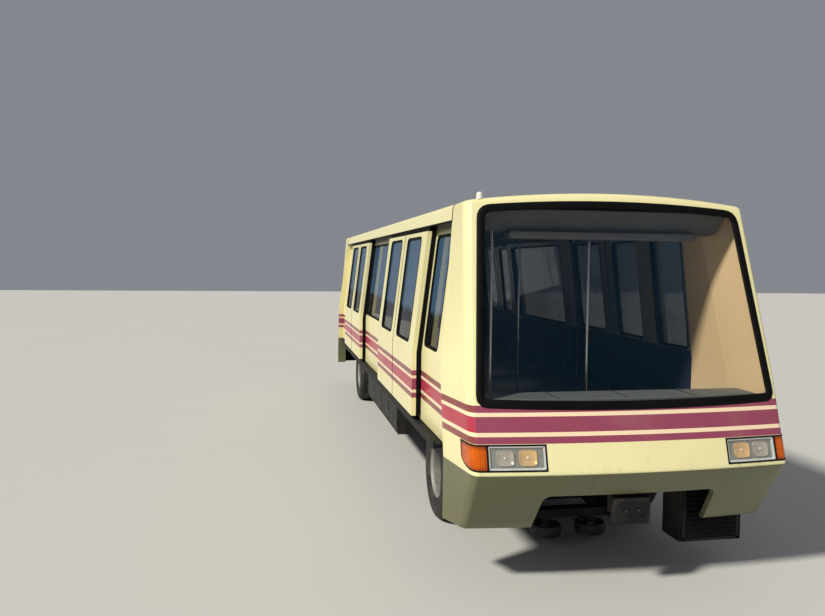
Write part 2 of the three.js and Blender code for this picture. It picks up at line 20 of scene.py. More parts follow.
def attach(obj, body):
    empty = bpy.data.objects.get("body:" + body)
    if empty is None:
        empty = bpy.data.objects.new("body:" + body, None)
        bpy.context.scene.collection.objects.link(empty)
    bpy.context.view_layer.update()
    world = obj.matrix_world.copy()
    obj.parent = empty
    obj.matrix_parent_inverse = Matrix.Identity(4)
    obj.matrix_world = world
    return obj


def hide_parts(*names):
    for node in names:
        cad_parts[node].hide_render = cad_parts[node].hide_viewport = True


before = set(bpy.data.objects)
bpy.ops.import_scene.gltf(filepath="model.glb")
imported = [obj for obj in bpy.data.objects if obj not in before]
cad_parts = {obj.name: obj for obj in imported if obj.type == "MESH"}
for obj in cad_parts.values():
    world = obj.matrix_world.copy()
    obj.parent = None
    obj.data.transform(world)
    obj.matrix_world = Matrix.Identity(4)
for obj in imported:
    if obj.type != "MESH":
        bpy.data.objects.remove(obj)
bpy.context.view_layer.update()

log = logging.getLogger("people_mover")

Pair = tuple[float, float]
Triple = tuple[float, float, float]
Quad = tuple[float, float, float, float]
Opening = tuple[float, float, float, float, float]
Numbers = tuple[float, ...]
Pairs = tuple[Pair, ...]
Ring = tuple[int, float, float]
Colour = Quad
Outline = list[Pair]
Row = list[Vector]

CAR = "car"

# Sizes that both the finishes and the shapes need.
HALF_WIDTH = 1.42
WAIST = 1.75
TUMBLEHOME = 0.12
CREASE = 1.06
FLOOR_TOP = 1.15

# Points nearer than this are one point, in a form and in a node of the model.
MERGE = 2e-6
NODE_MERGE = 1e-5
# Faces of a node that differ by less than this many degrees are one flat face.
FLAT_WITHIN = 0.6
# Edges that turn more than this many degrees are rounded.
ROUND_ABOVE = 30
# Radius of a turned shape's points on its own axis.
ON_AXIS = 1e-5

# The car's own directions.
FORWARD = Vector((1, 0, 0))
LEFTWARD = Vector((0, 1, 0))
UP = Vector((0, 0, 1))


class End(Enum):
    """The car's two ends. The rear is the front turned half way round."""

    FRONT = "front"
    REAR = "rear"

    @property
    def turn(self) -> Matrix:
        """Turns what is made for the front to this end."""
        return Matrix.Rotation(0 if self is End.FRONT else math.pi, 4, "Z")

    @property
    def sign(self) -> int:
        """Which way this end looks along X."""
        return 1 if self is End.FRONT else -1


class Side(Enum):
    """The car's two sides."""

    RIGHT = "right"
    LEFT = "left"

    @property
    def sign(self) -> int:
        """Which way this side looks along Y."""
        return -1 if self is Side.RIGHT else 1


class Layer(IntEnum):
    """The cap's three kinds of faces, in the order of its finishes."""

    PAINTED = 0
    LINED = 1
    DARK = 2


def srgb(red: float, green: float, blue: float) -> Colour:
    """Turns a colour of 0 to 255 into the linear values that shaders use.

    Args:
        red, green, blue: the colour as a screen shows it.

    Returns:
        The linear colour with full alpha.
    """

    def linear(value: float) -> float:
        """One channel."""
        share = value / 255
        return share / 12.92 if share <= 0.04045 else ((share + 0.055) / 1.055) ** 2.4

    return (linear(red), linear(green), linear(blue), 1.0)


class Signal:
    """A node's output that takes part in arithmetic."""

    def __init__(self, tree: "Tree", socket: NodeSocket) -> None:
        """Keeps the socket and its tree."""
        self.tree = tree
        self.socket = socket

    def _math(self, operation: str, *values: "Value") -> "Signal":
        """Adds one Math node."""
        return self.tree.node("ShaderNodeMath", {"operation": operation}, dict(enumerate(values)))

    def __add__(self, other: "Value") -> "Signal":
        """Sum."""
        return self._math("ADD", self, other)

    def __radd__(self, other: "Value") -> "Signal":
        """Sum with a number first."""
        return self._math("ADD", other, self)

    def __sub__(self, other: "Value") -> "Signal":
        """Difference."""
        return self._math("SUBTRACT", self, other)

    def __rsub__(self, other: "Value") -> "Signal":
        """Difference from a number."""
        return self._math("SUBTRACT", other, self)

    def __mul__(self, other: "Value") -> "Signal":
        """Product."""
        return self._math("MULTIPLY", self, other)

    def __rmul__(self, other: "Value") -> "Signal":
        """Product with a number first."""
        return self._math("MULTIPLY", other, self)

    def __truediv__(self, other: "Value") -> "Signal":
        """Quotient."""
        return self._math("DIVIDE", self, other)

    def __abs__(self) -> "Signal":
        """Size without sign."""
        return self._math("ABSOLUTE", self)

    def at_least(self, other: "Value") -> "Signal":
        """The larger of the two."""
        return self._math("MAXIMUM", self, other)

    def at_most(self, other: "Value") -> "Signal":
        """The smaller of the two."""
        return self._math("MINIMUM", self, other)

    def repeated(self, pitch: float) -> "Signal":
        """Share of the way through each pitch, from 0 to 1."""
        return self._math("FRACT", self / pitch)

    def above(self, edge: float, blur: float = 0.001) -> "Signal":
        """Mask that is 1 over the edge. The blur is how far the change runs to either side."""
        limits = {"From Min": edge - blur, "From Max": edge + blur, "Value": self}
        return self.tree.node("ShaderNodeMapRange", {"interpolation_type": "SMOOTHSTEP"}, limits)

    def within(self, low: float, high: float, blur: float = 0.001) -> "Signal":
        """Mask that is 1 between two edges."""
        return self.above(low, blur) * (1 - self.above(high, blur))


Value = Signal | float


class Tree:
    """The nodes of one material."""

    def __init__(self, name: str) -> None:
        """Starts an empty material.

        Args:
            name: the material's name.
        """
        self.material = bpy.data.materials.new(name)
        self.material.use_nodes = True
        self.graph = self.material.node_tree
        self.graph.nodes.clear()
        self._spot: dict[str, Signal] = {}

    def node(
        self, kind: str, settings: dict | None = None, values: dict | None = None, output: int | str = 0
    ) -> Signal:
        """Adds a node of any kind.

        Args:
            kind: the node's type.
            settings: its own settings, which are set first.
            values: a number, colour or signal for each socket, by name or number.
            output: which of its outputs is wanted.

        Returns:
            That output.
        """
        made = self.graph.nodes.new(kind)
        for key, value in (settings or {}).items():
            setattr(made, key, value)
        for key, value in (values or {}).items():
            if isinstance(value, Signal):
                self.graph.links.new(value.socket, made.inputs[key])
            else:
                made.inputs[key].default_value = value
        return Signal(self, made.outputs[output])

    def spot(self, axis: str) -> Signal:
        """Place along one axis of the car at rest.

        Args:
            axis: x, y or z.

        Returns:
            The place, in metres.
        """
        if not self._spot:
            where = self.node("ShaderNodeTexCoord", output="Object")
            self._spot["point"] = where
            for index, name in enumerate("xyz"):
                self._spot[name] = self.node("ShaderNodeSeparateXYZ", None, {0: where}, index)
        return self._spot[axis]

    def facing(self, axis: str) -> Signal:
        """How far the surface looks along an axis, to either side, from 0 to 1."""
        face = self.node("ShaderNodeTexCoord", output="Normal")
        return abs(self.node("ShaderNodeSeparateXYZ", None, {0: face}, "xyz".index(axis)))

    def noise(self, scale: float, detail: float = 3, stretch: Triple = (1, 1, 1)) -> Signal:
        """Cloudy noise from 0 to 1.

        Args:
            scale: features per metre.
            detail: how many finer layers it has.
            stretch: factor on the scale along each axis.

        Returns:
            The noise.
        """
        self.spot("x")
        place = self.node(
            "ShaderNodeVectorMath", {"operation": "MULTIPLY"}, {0: self._spot["point"], 1: stretch}
        )
        return self.node("ShaderNodeTexNoise", None, {"Vector": place, "Scale": scale, "Detail": detail})

    def mix(self, first: "Signal | Colour", second: "Signal | Colour", share: Value) -> Signal:
        """Blend of two colours: the second shows where the share is 1."""
        return self.node("ShaderNodeMix", {"data_type": "RGBA"}, {0: share, 6: first, 7: second}, 2)

    def bump(self, height: Signal, depth: float) -> Signal:
        """Normal of a surface that is raised by height times depth, in metres."""
        return self.node("ShaderNodeBump", None, {"Height": height, "Distance": depth, "Strength": 1.0})

    def finish(self, **sockets: "Signal | Colour | float") -> Material:
        """Ends the material in one Principled shader.

        Args:
            sockets: its sockets' values, with _ for each space of their names.

        Returns:
            The material.
        """
        named = {key.replace("_", " "): value for key, value in sockets.items()}
        shader = self.node("ShaderNodeBsdfPrincipled", None, named)
        out = self.graph.nodes.new("ShaderNodeOutputMaterial")
        self.graph.links.new(shader.socket, out.inputs["Surface"])
        return self.material


@dataclass(frozen=True)
class Finish:
    """What covers a surface. Each kind makes its own nodes."""

    name: str
    slot: str

    def shade(self, tree: Tree) -> Material:
        """Makes the nodes."""
        raise NotImplementedError

    def material(self) -> Material:
        """The material, made once."""
        return bpy.data.materials.get(self.name) or self.shade(Tree(self.name))


@dataclass(frozen=True)
class Coating(Finish):
    """A painted, moulded or bare surface with a fine grain, and scuffs of a second colour."""

    colour: Colour
    worn: Colour
    wear: float = 0.3
    roughness: float = 0.45
    metallic: float = 0.0
    grain: float = 300.0
    grain_depth: float = 0.0002
    patch: float = 3.0
    stretch: Triple = (1, 1, 1)
    coat: float = 0.0
    gloss: float = 0.5

    def shade(self, tree: Tree) -> Material:
        """Makes the nodes.

        Args:
            tree: the material's nodes.

        Returns:
            The material.
        """
        clouds = tree.noise(self.patch, 5, self.stretch)
        specks = tree.noise(self.grain, 2, self.stretch)
        scuffed = clouds.above(0.56, 0.14) * self.wear + specks.above(0.66, 0.1) * self.wear * 0.5
        rough = self.roughness + (clouds - 0.5) * 0.22 + scuffed * 0.1
        return tree.finish(
            Base_Color=tree.mix(self.colour, self.worn, scuffed.at_most(1.0)),
            Roughness=rough.at_least(0.05),
            Metallic=self.metallic,
            Specular_IOR_Level=self.gloss,
            Coat_Weight=self.coat,
            Coat_Roughness=0.12,
            Normal=tree.bump(specks, self.grain_depth),
        )


@dataclass(frozen=True)
class BodyPaint(Finish):
    """Cream coachwork paint with the three bands that run round the car, painted shade on its skirt and under
    its header, and the cabin's own inner faces.
    """

    cream: Colour = srgb(238, 231, 176)
    faded: Colour = srgb(226, 216, 164)
    front_shaded_mauve: Colour = srgb(148, 70, 94)
    rose: Colour = srgb(178, 52, 74)
    brown_rose: Colour = srgb(136, 68, 66)
    pinstripe: Colour = srgb(250, 222, 190)
    dirt: Colour = srgb(120, 108, 84)
    # Colour of the painted shade on the skirt and under the header.
    painted_shade: Colour = srgb(58, 68, 42)
    wainscot: Colour = srgb(38, 46, 70)
    panel: Colour = srgb(150, 142, 124)
    liner: Colour = srgb(238, 208, 158)
    bands: Pairs = ((1.286, 1.338), (1.369, 1.485), (1.515, 1.568))
    band_blur: float = 0.0012
    inner_depth: float = 0.0
    # Height above which the wall takes painted shade from the header.
    header_shade_from: float = 4.0
    splash_top: float = 0.72
    streak_top: float = 1.25
    wainscot_top: float = 1.81
    liner_from: float = 4.31
    skirt_seams: Numbers = (-0.38, 0.2, 0.76)
    seam_half: float = 0.0025

    def shade(self, tree: Tree) -> Material:
        """Makes the nodes.

        Args:
            tree: the material's nodes.

        Returns:
            The material.
        """
        y, z = tree.spot("y"), tree.spot("z")
        bottom, top = self.bands[0][0], self.bands[-1][1]
        clouds = tree.noise(1.3, 5)
        streaks = tree.noise(1.0, 4, (16, 16, 0.6))
        faded = clouds.above(0.55, 0.2) * 0.5 + streaks.above(0.6, 0.15) * 0.22
        ground = tree.mix(self.cream, self.faded, faded)
        ground = tree.mix(ground, self.pinstripe, z.within(bottom, top, 0.002) * 0.75)
        banded = sum(z.within(low, high, self.band_blur) for low, high in self.bands)
        # The bands are one paint in two painted lights: mauve where the surface faces the front, as painted
        # shade, and rose where it faces the side, as if lit. On the side the thin bands are browner than the
        # wide one.
        side_stripe = tree.mix(self.brown_rose, self.rose, z.within(*self.bands[1], self.band_blur))
        stripe = tree.mix(self.front_shaded_mauve, side_stripe, tree.facing("y").above(0.5, 0.3))
        worn_stripe = tree.mix(stripe, self.pinstripe, clouds.above(0.62, 0.15) * 0.12)
        colour = tree.mix(ground, worn_stripe, banded.at_most(1.0))
        splash = (1 - z.above(self.splash_top, 0.2)) * tree.noise(9, 4).above(0.45, 0.2) * 0.35
        # Painted shade: below the crease the skirt is darkened nearly to the shade colour, with a random
        # mottle, and a little more at its three seams, which are darker joints.
        skirt = 1 - z.above(CREASE - 0.005, 0.004)
        gaps = sum(abs(y - seam).within(-1.0, self.seam_half, 0.0015) for seam in self.skirt_seams)
        colour = tree.mix(colour, self.painted_shade, skirt * (0.84 + gaps * 0.08 + clouds * 0.07))
        # Painted shade under the header: above a given height the wall takes the shade colour. Only the walls
        # set that height low enough.
        colour = tree.mix(colour, self.painted_shade, z.above(self.header_shade_from, 0.03) * 0.75)
        film = splash + streaks.above(0.66, 0.1) * (1 - z.above(self.streak_top, 0.2)) * 0.12
        colour = tree.mix(colour, self.dirt, film.at_most(1.0))
        rough = 0.24 + clouds * 0.12 + splash * 0.6
        if self.inner_depth:
            # The cabin's walls are navy below, grey above, and tan towards the ends.
            half = HALF_WIDTH - (z - WAIST).at_least(0.0) * TUMBLEHOME
            inside = (half - abs(y)).above(self.inner_depth)
            room = tree.mix(self.wainscot, self.panel, z.above(self.wainscot_top))
            room = tree.mix(room, self.liner, abs(tree.spot("x")).above(self.liner_from))
            colour = tree.mix(colour, room, inside)
            rough = rough + inside * 0.3
        peel = tree.noise(170, 2)
        waves = tree.noise(1.6, 1)
        return tree.finish(
            Base_Color=colour,
            Roughness=rough,
            Specular_IOR_Level=0.32,
            Coat_Weight=0.16,
            Coat_Roughness=0.08,
            Normal=tree.bump(peel * 0.25 + waves * 4, 0.0009),
        )


@dataclass(frozen=True)
class Pane(Finish):
    """Window glass: a tint with a painted reflection, sky above a wavy horizon and dark ground below it,
    through which the cabin shows, and a little dust.
    """

    tint_and_sky_reflection: Colour
    deep: Colour
    dust: Colour
    cover: float
    mirror: float
    dusty: float = 0.06
    reflected_horizon: float = 2.17
    reflected_horizon_blur: float = 0.035
    skyline: float = 0.1

    def shade(self, tree: Tree) -> Material:
        """Makes the nodes.

        Args:
            tree: the material's nodes.

        Returns:
            The material.
        """
        film = tree.noise(1.4, 4).above(0.6, 0.3) * self.dusty
        grazing = tree.node("ShaderNodeLayerWeight", None, {"Blend": 0.35}, "Facing")
        cover = self.cover + grazing * grazing * 0.35 + film
        # Painted reflection: above a wavy horizon the glass shows the sky's blue, below it the dark ground.
        level = tree.spot("z") + (tree.noise(5, 4) - 0.5) * self.skyline
        tint_and_sky_reflection = tree.mix(self.deep, self.tint_and_sky_reflection, level.above(self.reflected_horizon, self.reflected_horizon_blur))
        return tree.finish(
            Base_Color=tree.mix(tint_and_sky_reflection, self.dust, (film * 4).at_most(0.6)),
            Roughness=0.02 + film,
            IOR=self.mirror,
            Alpha=cover.at_most(1.0),
        )


@dataclass(frozen=True)
class Lens(Finish):
    """A moulded lamp lens with upright flutes, which may take painted shade towards its foot, head and ends.
    """

    colour: Colour
    deep: Colour
    cover: float
    pitch: float = 0.018
    # Share of painted shade at the lens's edges.
    border: float = 0.0
    middle: float = 1.184
    middle_reach: float = 0.07
    inner_end: float = 1.232
    outer_end: float = 5.47

    def shade(self, tree: Tree) -> Material:
        """Makes the nodes.

        Args:
            tree: the material's nodes.

        Returns:
            The material.
        """
        wave = abs(tree.spot("y").repeated(self.pitch) - 0.5) * 2
        rows = abs(tree.spot("z").repeated(self.pitch * 2.2) - 0.5) * 2
        shade = wave * 0.25 + tree.noise(14, 3).above(0.5, 0.3) * 0.3
        # Painted shade: the colour deepens towards the lens's foot, head and ends, as it would in the shade
        # of its recess.
        if self.border:
            inner = 1 - abs(tree.spot("y")).above(self.inner_end, 0.02)
            outer = 1 - abs(tree.spot("x")).above(self.outer_end, 0.05)
            edges = abs(tree.spot("z") - self.middle).above(self.middle_reach, 0.024)
            shade = shade + (edges + inner + outer) * self.border
        shade = shade.at_most(1.0)
        return tree.finish(
            Base_Color=tree.mix(self.colour, self.deep, shade),
            Roughness=0.08 + tree.noise(30, 3) * 0.1,
            IOR=1.45,
            Coat_Weight=0.2,
            Alpha=(self.cover + shade * 0.12).at_most(1.0),
            Normal=tree.bump(wave * wave + rows * 0.4, 0.0016),
        )


@dataclass(frozen=True)
class Studded(Finish):
    """Rubber flooring with round studs on a square pitch."""

    colour: Colour
    worn: Colour
    pitch: float = 0.05
    stud_share: float = 0.3

    def shade(self, tree: Tree) -> Material:
        """Makes the nodes.

        Args:
            tree: the material's nodes.

        Returns:
            The material.
        """
        across = tree.spot("x").repeated(self.pitch) - 0.5
        along = tree.spot("y").repeated(self.pitch) - 0.5
        stud = 1 - (across * across + along * along).above(self.stud_share**2, 0.02)
        walked = tree.noise(2.2, 5).above(0.5, 0.2)
        return tree.finish(
            Base_Color=tree.mix(self.colour, self.worn, walked * 0.45 + stud * 0.12),
            Roughness=0.72 - walked * 0.18,
            Normal=tree.bump(stud, 0.0012),
        )


PAINT = BodyPaint("cream coachwork", "body_paint")
# The wall's top, under the header, takes painted shade.
WALL_PAINT = BodyPaint("cream wall", "body_paint", inner_depth=0.104, header_shade_from=2.965)
DOOR_PAINT = BodyPaint("cream door", "body_paint", inner_depth=0.045)
ROOF_PAINT = Coating(
    "pale roof paint", "roof_paint", srgb(240, 233, 184), srgb(214, 205, 162), wear=0.25, roughness=0.4,
    grain=120, patch=1.1, coat=0.2,
)
LINER = Coating(
    "tan cab liner", "body_paint", srgb(238, 208, 158), srgb(218, 188, 140), roughness=0.6, grain=420
)
CEILING = Coating(
    "brown grey ceiling", "frame_paint", srgb(92, 88, 82), srgb(76, 72, 66), roughness=0.75, grain=160
)
DUCT_GREY = Coating(
    "grey air duct", "frame_paint", srgb(96, 92, 88), srgb(78, 74, 70), roughness=0.6, grain=380
)
RUBBER = Coating(
    "black rubber", "frame_paint", srgb(6, 6, 7), srgb(20, 19, 18), wear=0.25, roughness=0.6, grain=260,
    patch=6, gloss=0.12,
)
TYRE_RUBBER = Coating(
    "tyre rubber", "tyre", srgb(26, 26, 27), srgb(88, 82, 72), wear=0.45, roughness=0.78, grain=90,
    grain_depth=0.0006, patch=7,
)
ROLLER_RUBBER = Coating(
    "guide wheel rubber", "guide_wheel", srgb(38, 37, 36), srgb(92, 86, 76), wear=0.4, roughness=0.72,
    grain=110, patch=9,
)
FRAME_PAINT = Coating(
    "dusty frame paint", "frame_paint", srgb(30, 31, 33), srgb(74, 68, 58), wear=0.4, roughness=0.62,
    metallic=0.2, grain=70, grain_depth=0.0006, patch=4, gloss=0.2,
)
BOX_PAINT = Coating(
    "black box paint", "frame_paint", srgb(24, 26, 29), srgb(62, 60, 54), wear=0.35, roughness=0.5,
    metallic=0.1, grain=90, patch=5, gloss=0.2,
)
STEEL = Coating(
    "brushed steel", "frame_paint", srgb(170, 176, 184), srgb(140, 144, 150), roughness=0.16, metallic=1.0,
    grain=500, grain_depth=0.00005, patch=5, stretch=(1, 1, 0.05),
)
DULL_STEEL = Coating(
    "dull steel", "frame_paint", srgb(120, 120, 120), srgb(88, 78, 66), wear=0.5, roughness=0.48,
    metallic=0.85, grain=120, patch=8,
)
RIM_PAINT = Coating(
    "wheel paint", "frame_paint", srgb(152, 150, 144), srgb(86, 78, 66), wear=0.5, roughness=0.5,
    metallic=0.3, patch=9,
)
# Partly painted reflection: the lamp mirrors are only half metal, and their pale colour stands in for part of
# what they reflect.
MIRROR = Coating(
    "lamp mirror", "lamp_lens", srgb(206, 194, 176), srgb(150, 140, 122), wear=0.4, roughness=0.25,
    metallic=0.45, grain=40,
)
GOLD_MIRROR = Coating(
    "warm lamp mirror", "lamp_lens", srgb(255, 206, 122), srgb(206, 156, 84), wear=0.4, roughness=0.25,
    metallic=0.45,
)
LAMP_FRAME = Coating(
    "silver lamp frame", "lamp_lens", srgb(244, 246, 242), srgb(206, 208, 202), roughness=0.3, metallic=0.3
)
LAMP_GROUND = Coating(
    "grey lamp ground", "lamp_lens", srgb(118, 122, 114), srgb(84, 88, 80), wear=0.4, roughness=0.5,
    metallic=0.2, grain=90,
)
BULB = Coating("bulb glass", "lamp_lens", srgb(232, 230, 222), srgb(190, 186, 170), roughness=0.12, grain=60)
WHITE = Coating("white housing", "roof_paint", srgb(236, 234, 224), srgb(188, 182, 166), roughness=0.35)
DADO_PAINT = Coating(
    "navy dado trim", "bench_covering", srgb(44, 52, 78), srgb(30, 36, 54), roughness=0.5, grain=520
)
BENCH_SHELL = Coating(
    "grey moulded bench", "bench_covering", srgb(104, 108, 104), srgb(78, 80, 76), wear=0.35,
    roughness=0.55, grain=460,
)
PALE_FLOOR = Coating(
    "pale floor", "floor_covering", srgb(202, 201, 197), srgb(197, 196, 191), roughness=0.8, grain=14,
    patch=0.25,
)
FLOORING = Studded("studded flooring", "floor_covering", srgb(82, 82, 80), srgb(122, 118, 108))
# The side glass's tint is partly its own and partly a painted reflection, sky above and ground below.
SIDE_GLASS = Pane(
    "tinted side glass", "tinted_glass", tint_and_sky_reflection=srgb(66, 96, 126), deep=srgb(18, 19, 22),
    dust=srgb(70, 74, 80), cover=0.66, mirror=1.25,
)
# The windscreen's blue is a painted reflection of the sky on a nearly clear pane.
SCREEN_GLASS = Pane(
    "windscreen glass", "tinted_glass", tint_and_sky_reflection=srgb(34, 70, 98), deep=srgb(34, 70, 98),
    dust=srgb(120, 118, 108), cover=0.05, mirror=1.5, dusty=0.03,
)
CLEAR_LENS = Lens("clear lens", "lamp_lens", srgb(206, 210, 204), srgb(150, 154, 146), cover=0.1, pitch=0.024)
AMBER_LENS = Lens("amber lens", "lamp_lens", srgb(228, 104, 0), srgb(104, 40, 4), cover=0.94, border=0.5)


def rounded_outline(corners: Sequence[Triple], steps: int = 8) -> Outline:
    """Closed outline whose corners are eased, as the model's are.

    Args:
        corners: (u, v, how far the easing runs along each edge) in order.
        steps: segments at each eased corner.

    Returns:
        The outline's points.
    """
    points: Outline = []
    for index, (u, v, reach) in enumerate(corners):
        here = Vector((u, v))
        before = Vector(corners[index - 1][:2])
        after = Vector(corners[(index + 1) % len(corners)][:2])
        if reach <= 0:
            points.append((u, v))
            continue
        start = here + (before - here).normalized() * reach
        finish = here + (after - here).normalized() * reach
        for step in range(steps + 1):
            t = step / steps
            spot = start * (1 - t) ** 2 + here * (2 * t * (1 - t)) + finish * t**2
            points.append((spot.x, spot.y))
    return points


def rectangle(u0: float, u1: float, v0: float, v1: float, radius: float, steps: int = 8) -> Outline:
    """Rectangle with eased corners."""
    return rounded_outline([(u0, v0, radius), (u1, v0, radius), (u1, v1, radius), (u0, v1, radius)], steps)


def evenly(outline: Outline, count: int) -> Outline:
    """The same closed outline with evenly spaced points.

    Args:
        outline: the outline's points.
        count: how many points are wanted.

    Returns:
        The new points, from the same first one.
    """
    ring = outline + outline[:1]
    lengths = [0.0]
    for (u0, v0), (u1, v1) in zip(ring, ring[1:]):
        lengths.append(lengths[-1] + math.hypot(u1 - u0, v1 - v0))
    made: Outline = []
    index = 0
    for step in range(count):
        target = lengths[-1] * step / count
        while lengths[index + 1] < target:
            index += 1
        span = lengths[index + 1] - lengths[index]
        t = (target - lengths[index]) / span if span > 0 else 0.0
        made.append(tuple(a + (b - a) * t for a, b in zip(ring[index], ring[index + 1])))
    return made


def offset(outline: Outline, distance: float) -> Outline:
    """An anticlockwise closed outline moved outwards.

    Args:
        outline: the outline's points.
        distance: how far it moves; inwards if below 0.

    Returns:
        The moved points.
    """
    count = len(outline)
    moved: Outline = []
    for index, (u, v) in enumerate(outline):
        du = outline[(index + 1) % count][0] - outline[index - 1][0]
        dv = outline[(index + 1) % count][1] - outline[index - 1][1]
        size = math.hypot(du, dv) or 1.0
        moved.append((u + distance * dv / size, v - distance * du / size))
    return moved


def around(count: int, radius: float) -> Outline:
    """Evenly spaced points on a circle round the origin."""
    angles = [math.tau * index / count for index in range(count)]
    return [(math.cos(angle) * radius, math.sin(angle) * radius) for angle in angles]


def spindle(foot: float, side: Iterable[Pair], head: float) -> Outline:
    """Section of a turned shape that is solid to its axis: its foot, its side and its head."""
    return [(ON_AXIS, foot), *side, (ON_AXIS, head)]


def bolt(radius: float, height: float) -> Outline:
    """Section of a small bolt's head."""
    return spindle(0, [(radius, 0), (radius, height)], height + 0.001)


BOLT_HEAD = spindle(0.0, [(0.014, 0.0), (0.014, 0.009), (0.012, 0.011)], 0.011)
WHEEL_NUT = spindle(0, [(0.016, 0), (0.016, 0.02), (0.013, 0.024), (0.009, 0.024), (0.009, 0.036)], 0.038)


class Form:
    """A mesh in the making, in the car's frame."""

    def __init__(self, layer: int = 0) -> None:
        """Starts empty; the layer says which of a piece's finishes its faces get."""
        self.mesh = bmesh.new()
        self.layer = layer

    def _face(self, corners: Sequence[bmesh.types.BMVert]) -> None:
        """Adds a face of the current layer, unless its corners repeat."""
        if len(set(corners)) >= 3:
            self.mesh.faces.new(list(dict.fromkeys(corners))).material_index = self.layer

    def skin(self, rows: list[Row], ring: bool = False, wrap: bool = False, ends: bool = False) -> "Form":
        """Adds four-cornered faces between rows of points.

        Args:
            rows: rows with the same number of points.
            ring: whether each row closes on itself.
            wrap: whether the last row joins the first.
            ends: whether the first and last rows are filled.

        Returns:
            This form.
        """
        verts = [[self.mesh.verts.new(point) for point in row] for row in rows]
        count = len(rows[0])
        for low, high in zip(verts, verts[1:] + (verts[:1] if wrap else [])):
            for index in range(count if ring else count - 1):
                after = (index + 1) % count
                self._face([low[index], low[after], high[after], high[index]])
        if ends:
            self._face(verts[0][::-1])
            self._face(verts[-1])
        return self

    def fill(self, points: Sequence[Vector]) -> "Form":
        """Adds one face through the points."""
        self._face([self.mesh.verts.new(point) for point in points])
        return self

    def prism(self, outline: Outline | Pairs, start: float, finish: float, axis: str) -> "Form":
        """Adds a straight block with the given outline.

        Args:
            outline: (y, z) points along x, (x, z) points along y or (x, y) points along z.
            start, finish: where it begins and stops along the axis.
            axis: x, y or z.

        Returns:
            This form.
        """

        def place(u: float, v: float, along: float) -> Vector:
            """A point of the outline at a distance along the axis."""
            return Vector({"x": (along, u, v), "y": (u, along, v), "z": (u, v, along)}[axis])

        rows = [[place(u, v, along) for u, v in outline] for along in (start, finish)]
        return self.skin(rows, ring=True, ends=True)

    def block(self, x: Pair, y: Pair, z: Pair) -> None:
        """Adds a block between the given limits."""
        (x0, x1), (y0, y1) = sorted(x), sorted(y)
        self.prism([(x0, y0), (x1, y0), (x1, y1), (x0, y1)], *sorted(z), "z")

    def lathe(self, profile: Outline | Pairs, centre: Vector, axis: Vector, segments: int = 32) -> "Form":
        """Adds a turned shape.

        Args:
            profile: (radius, distance along the axis) points; it closes on itself off the axis.
            centre: the point on the axis where the distance is 0.
            axis: the axis' direction.
            segments: steps round the axis.

        Returns:
            This form.
        """
        turn = UP.rotation_difference(axis.normalized())
        rows = []
        for index in range(segments):
            angle = math.tau * index / segments
            ray = Vector((math.cos(angle), math.sin(angle), 0))
            rows.append([centre + turn @ (ray * radius + Vector((0, 0, along))) for radius, along in profile])
        return self.skin(rows, ring=profile[0][0] > 0, wrap=True)

    def tube(self, path: Sequence[Vector], radius: float, segments: int = 14) -> None:
        """Adds a round bar along a path, closed at both ends.

        Args:
            path: the points of its middle line.
            radius: its radius.
            segments: steps round it.
        """
        rows = []
        side = None
        for index, point in enumerate(path):
            ahead = path[min(index + 1, len(path) - 1)] - path[max(index - 1, 0)]
            ahead.normalize()
            if side is None:
                side = ahead.orthogonal().normalized()
            side = (side - ahead * side.dot(ahead)).normalized()
            up = ahead.cross(side)
            angles = [math.tau * step / segments for step in range(segments)]
            rows.append([point + (side * math.cos(a) + up * math.sin(a)) * radius for a in angles])
        self.skin(rows, ring=True, ends=True)

    def take(self, other: "Form", change: Matrix | None = None) -> None:
        """Adds a changed copy of another form, in the current layer.

        Args:
            other: the form to copy.
            change: a turn or move of the copy.
        """
        spare = other.mesh.copy()
        if change is not None:
            spare.transform(change)
        verts = {vert: self.mesh.verts.new(vert.co) for vert in spare.verts}
        for face in spare.faces:
            self._face([verts[vert] for vert in face.verts])
        spare.free()

    def node(self, name: str) -> "Form":
        """Adds the shape of a node of the model, with its flat faces made whole.

        Args:
            name: the node's name.

        Returns:
            This form.
        """
        source = bmesh.new()
        source.from_mesh(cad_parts[name].data)
        bmesh.ops.remove_doubles(source, verts=source.verts, dist=NODE_MERGE)
        flat = math.radians(FLAT_WITHIN)
        bmesh.ops.dissolve_limit(source, angle_limit=flat, verts=source.verts, edges=source.edges)
        other = Form()
        other.mesh = source
        self.take(other)
        return self

    def face_outwards(self) -> None:
        """Turns each separate shell of faces so that it looks outwards."""
        bmesh.ops.recalc_face_normals(self.mesh, faces=self.mesh.faces)
        left = set(self.mesh.faces)
        while left:
            shell = [left.pop()]
            for face in shell:
                for other in {near for edge in face.edges for near in edge.link_faces} & left:
                    left.remove(other)
                    shell.append(other)
            centre = shell[0].calc_center_median()
            volume = sum(
                (face.calc_center_median() - centre).dot(face.normal) * face.calc_area() for face in shell
            )
            if volume < 0:
                bmesh.ops.reverse_faces(self.mesh, faces=shell)

    def to_object(self, name: str) -> Object:
        """An object that holds this mesh, with the points that meet joined.

        Args:
            name: the object's name.

        Returns:
            The object, linked to the scene.
        """
        bmesh.ops.remove_doubles(self.mesh, verts=self.mesh.verts, dist=MERGE)
        bmesh.ops.dissolve_degenerate(self.mesh, edges=self.mesh.edges, dist=MERGE)
        self.face_outwards()
        data = bpy.data.meshes.new(name)
        self.mesh.to_mesh(data)
        made = bpy.data.objects.new(name, data)
        bpy.context.scene.collection.objects.link(made)
        return made

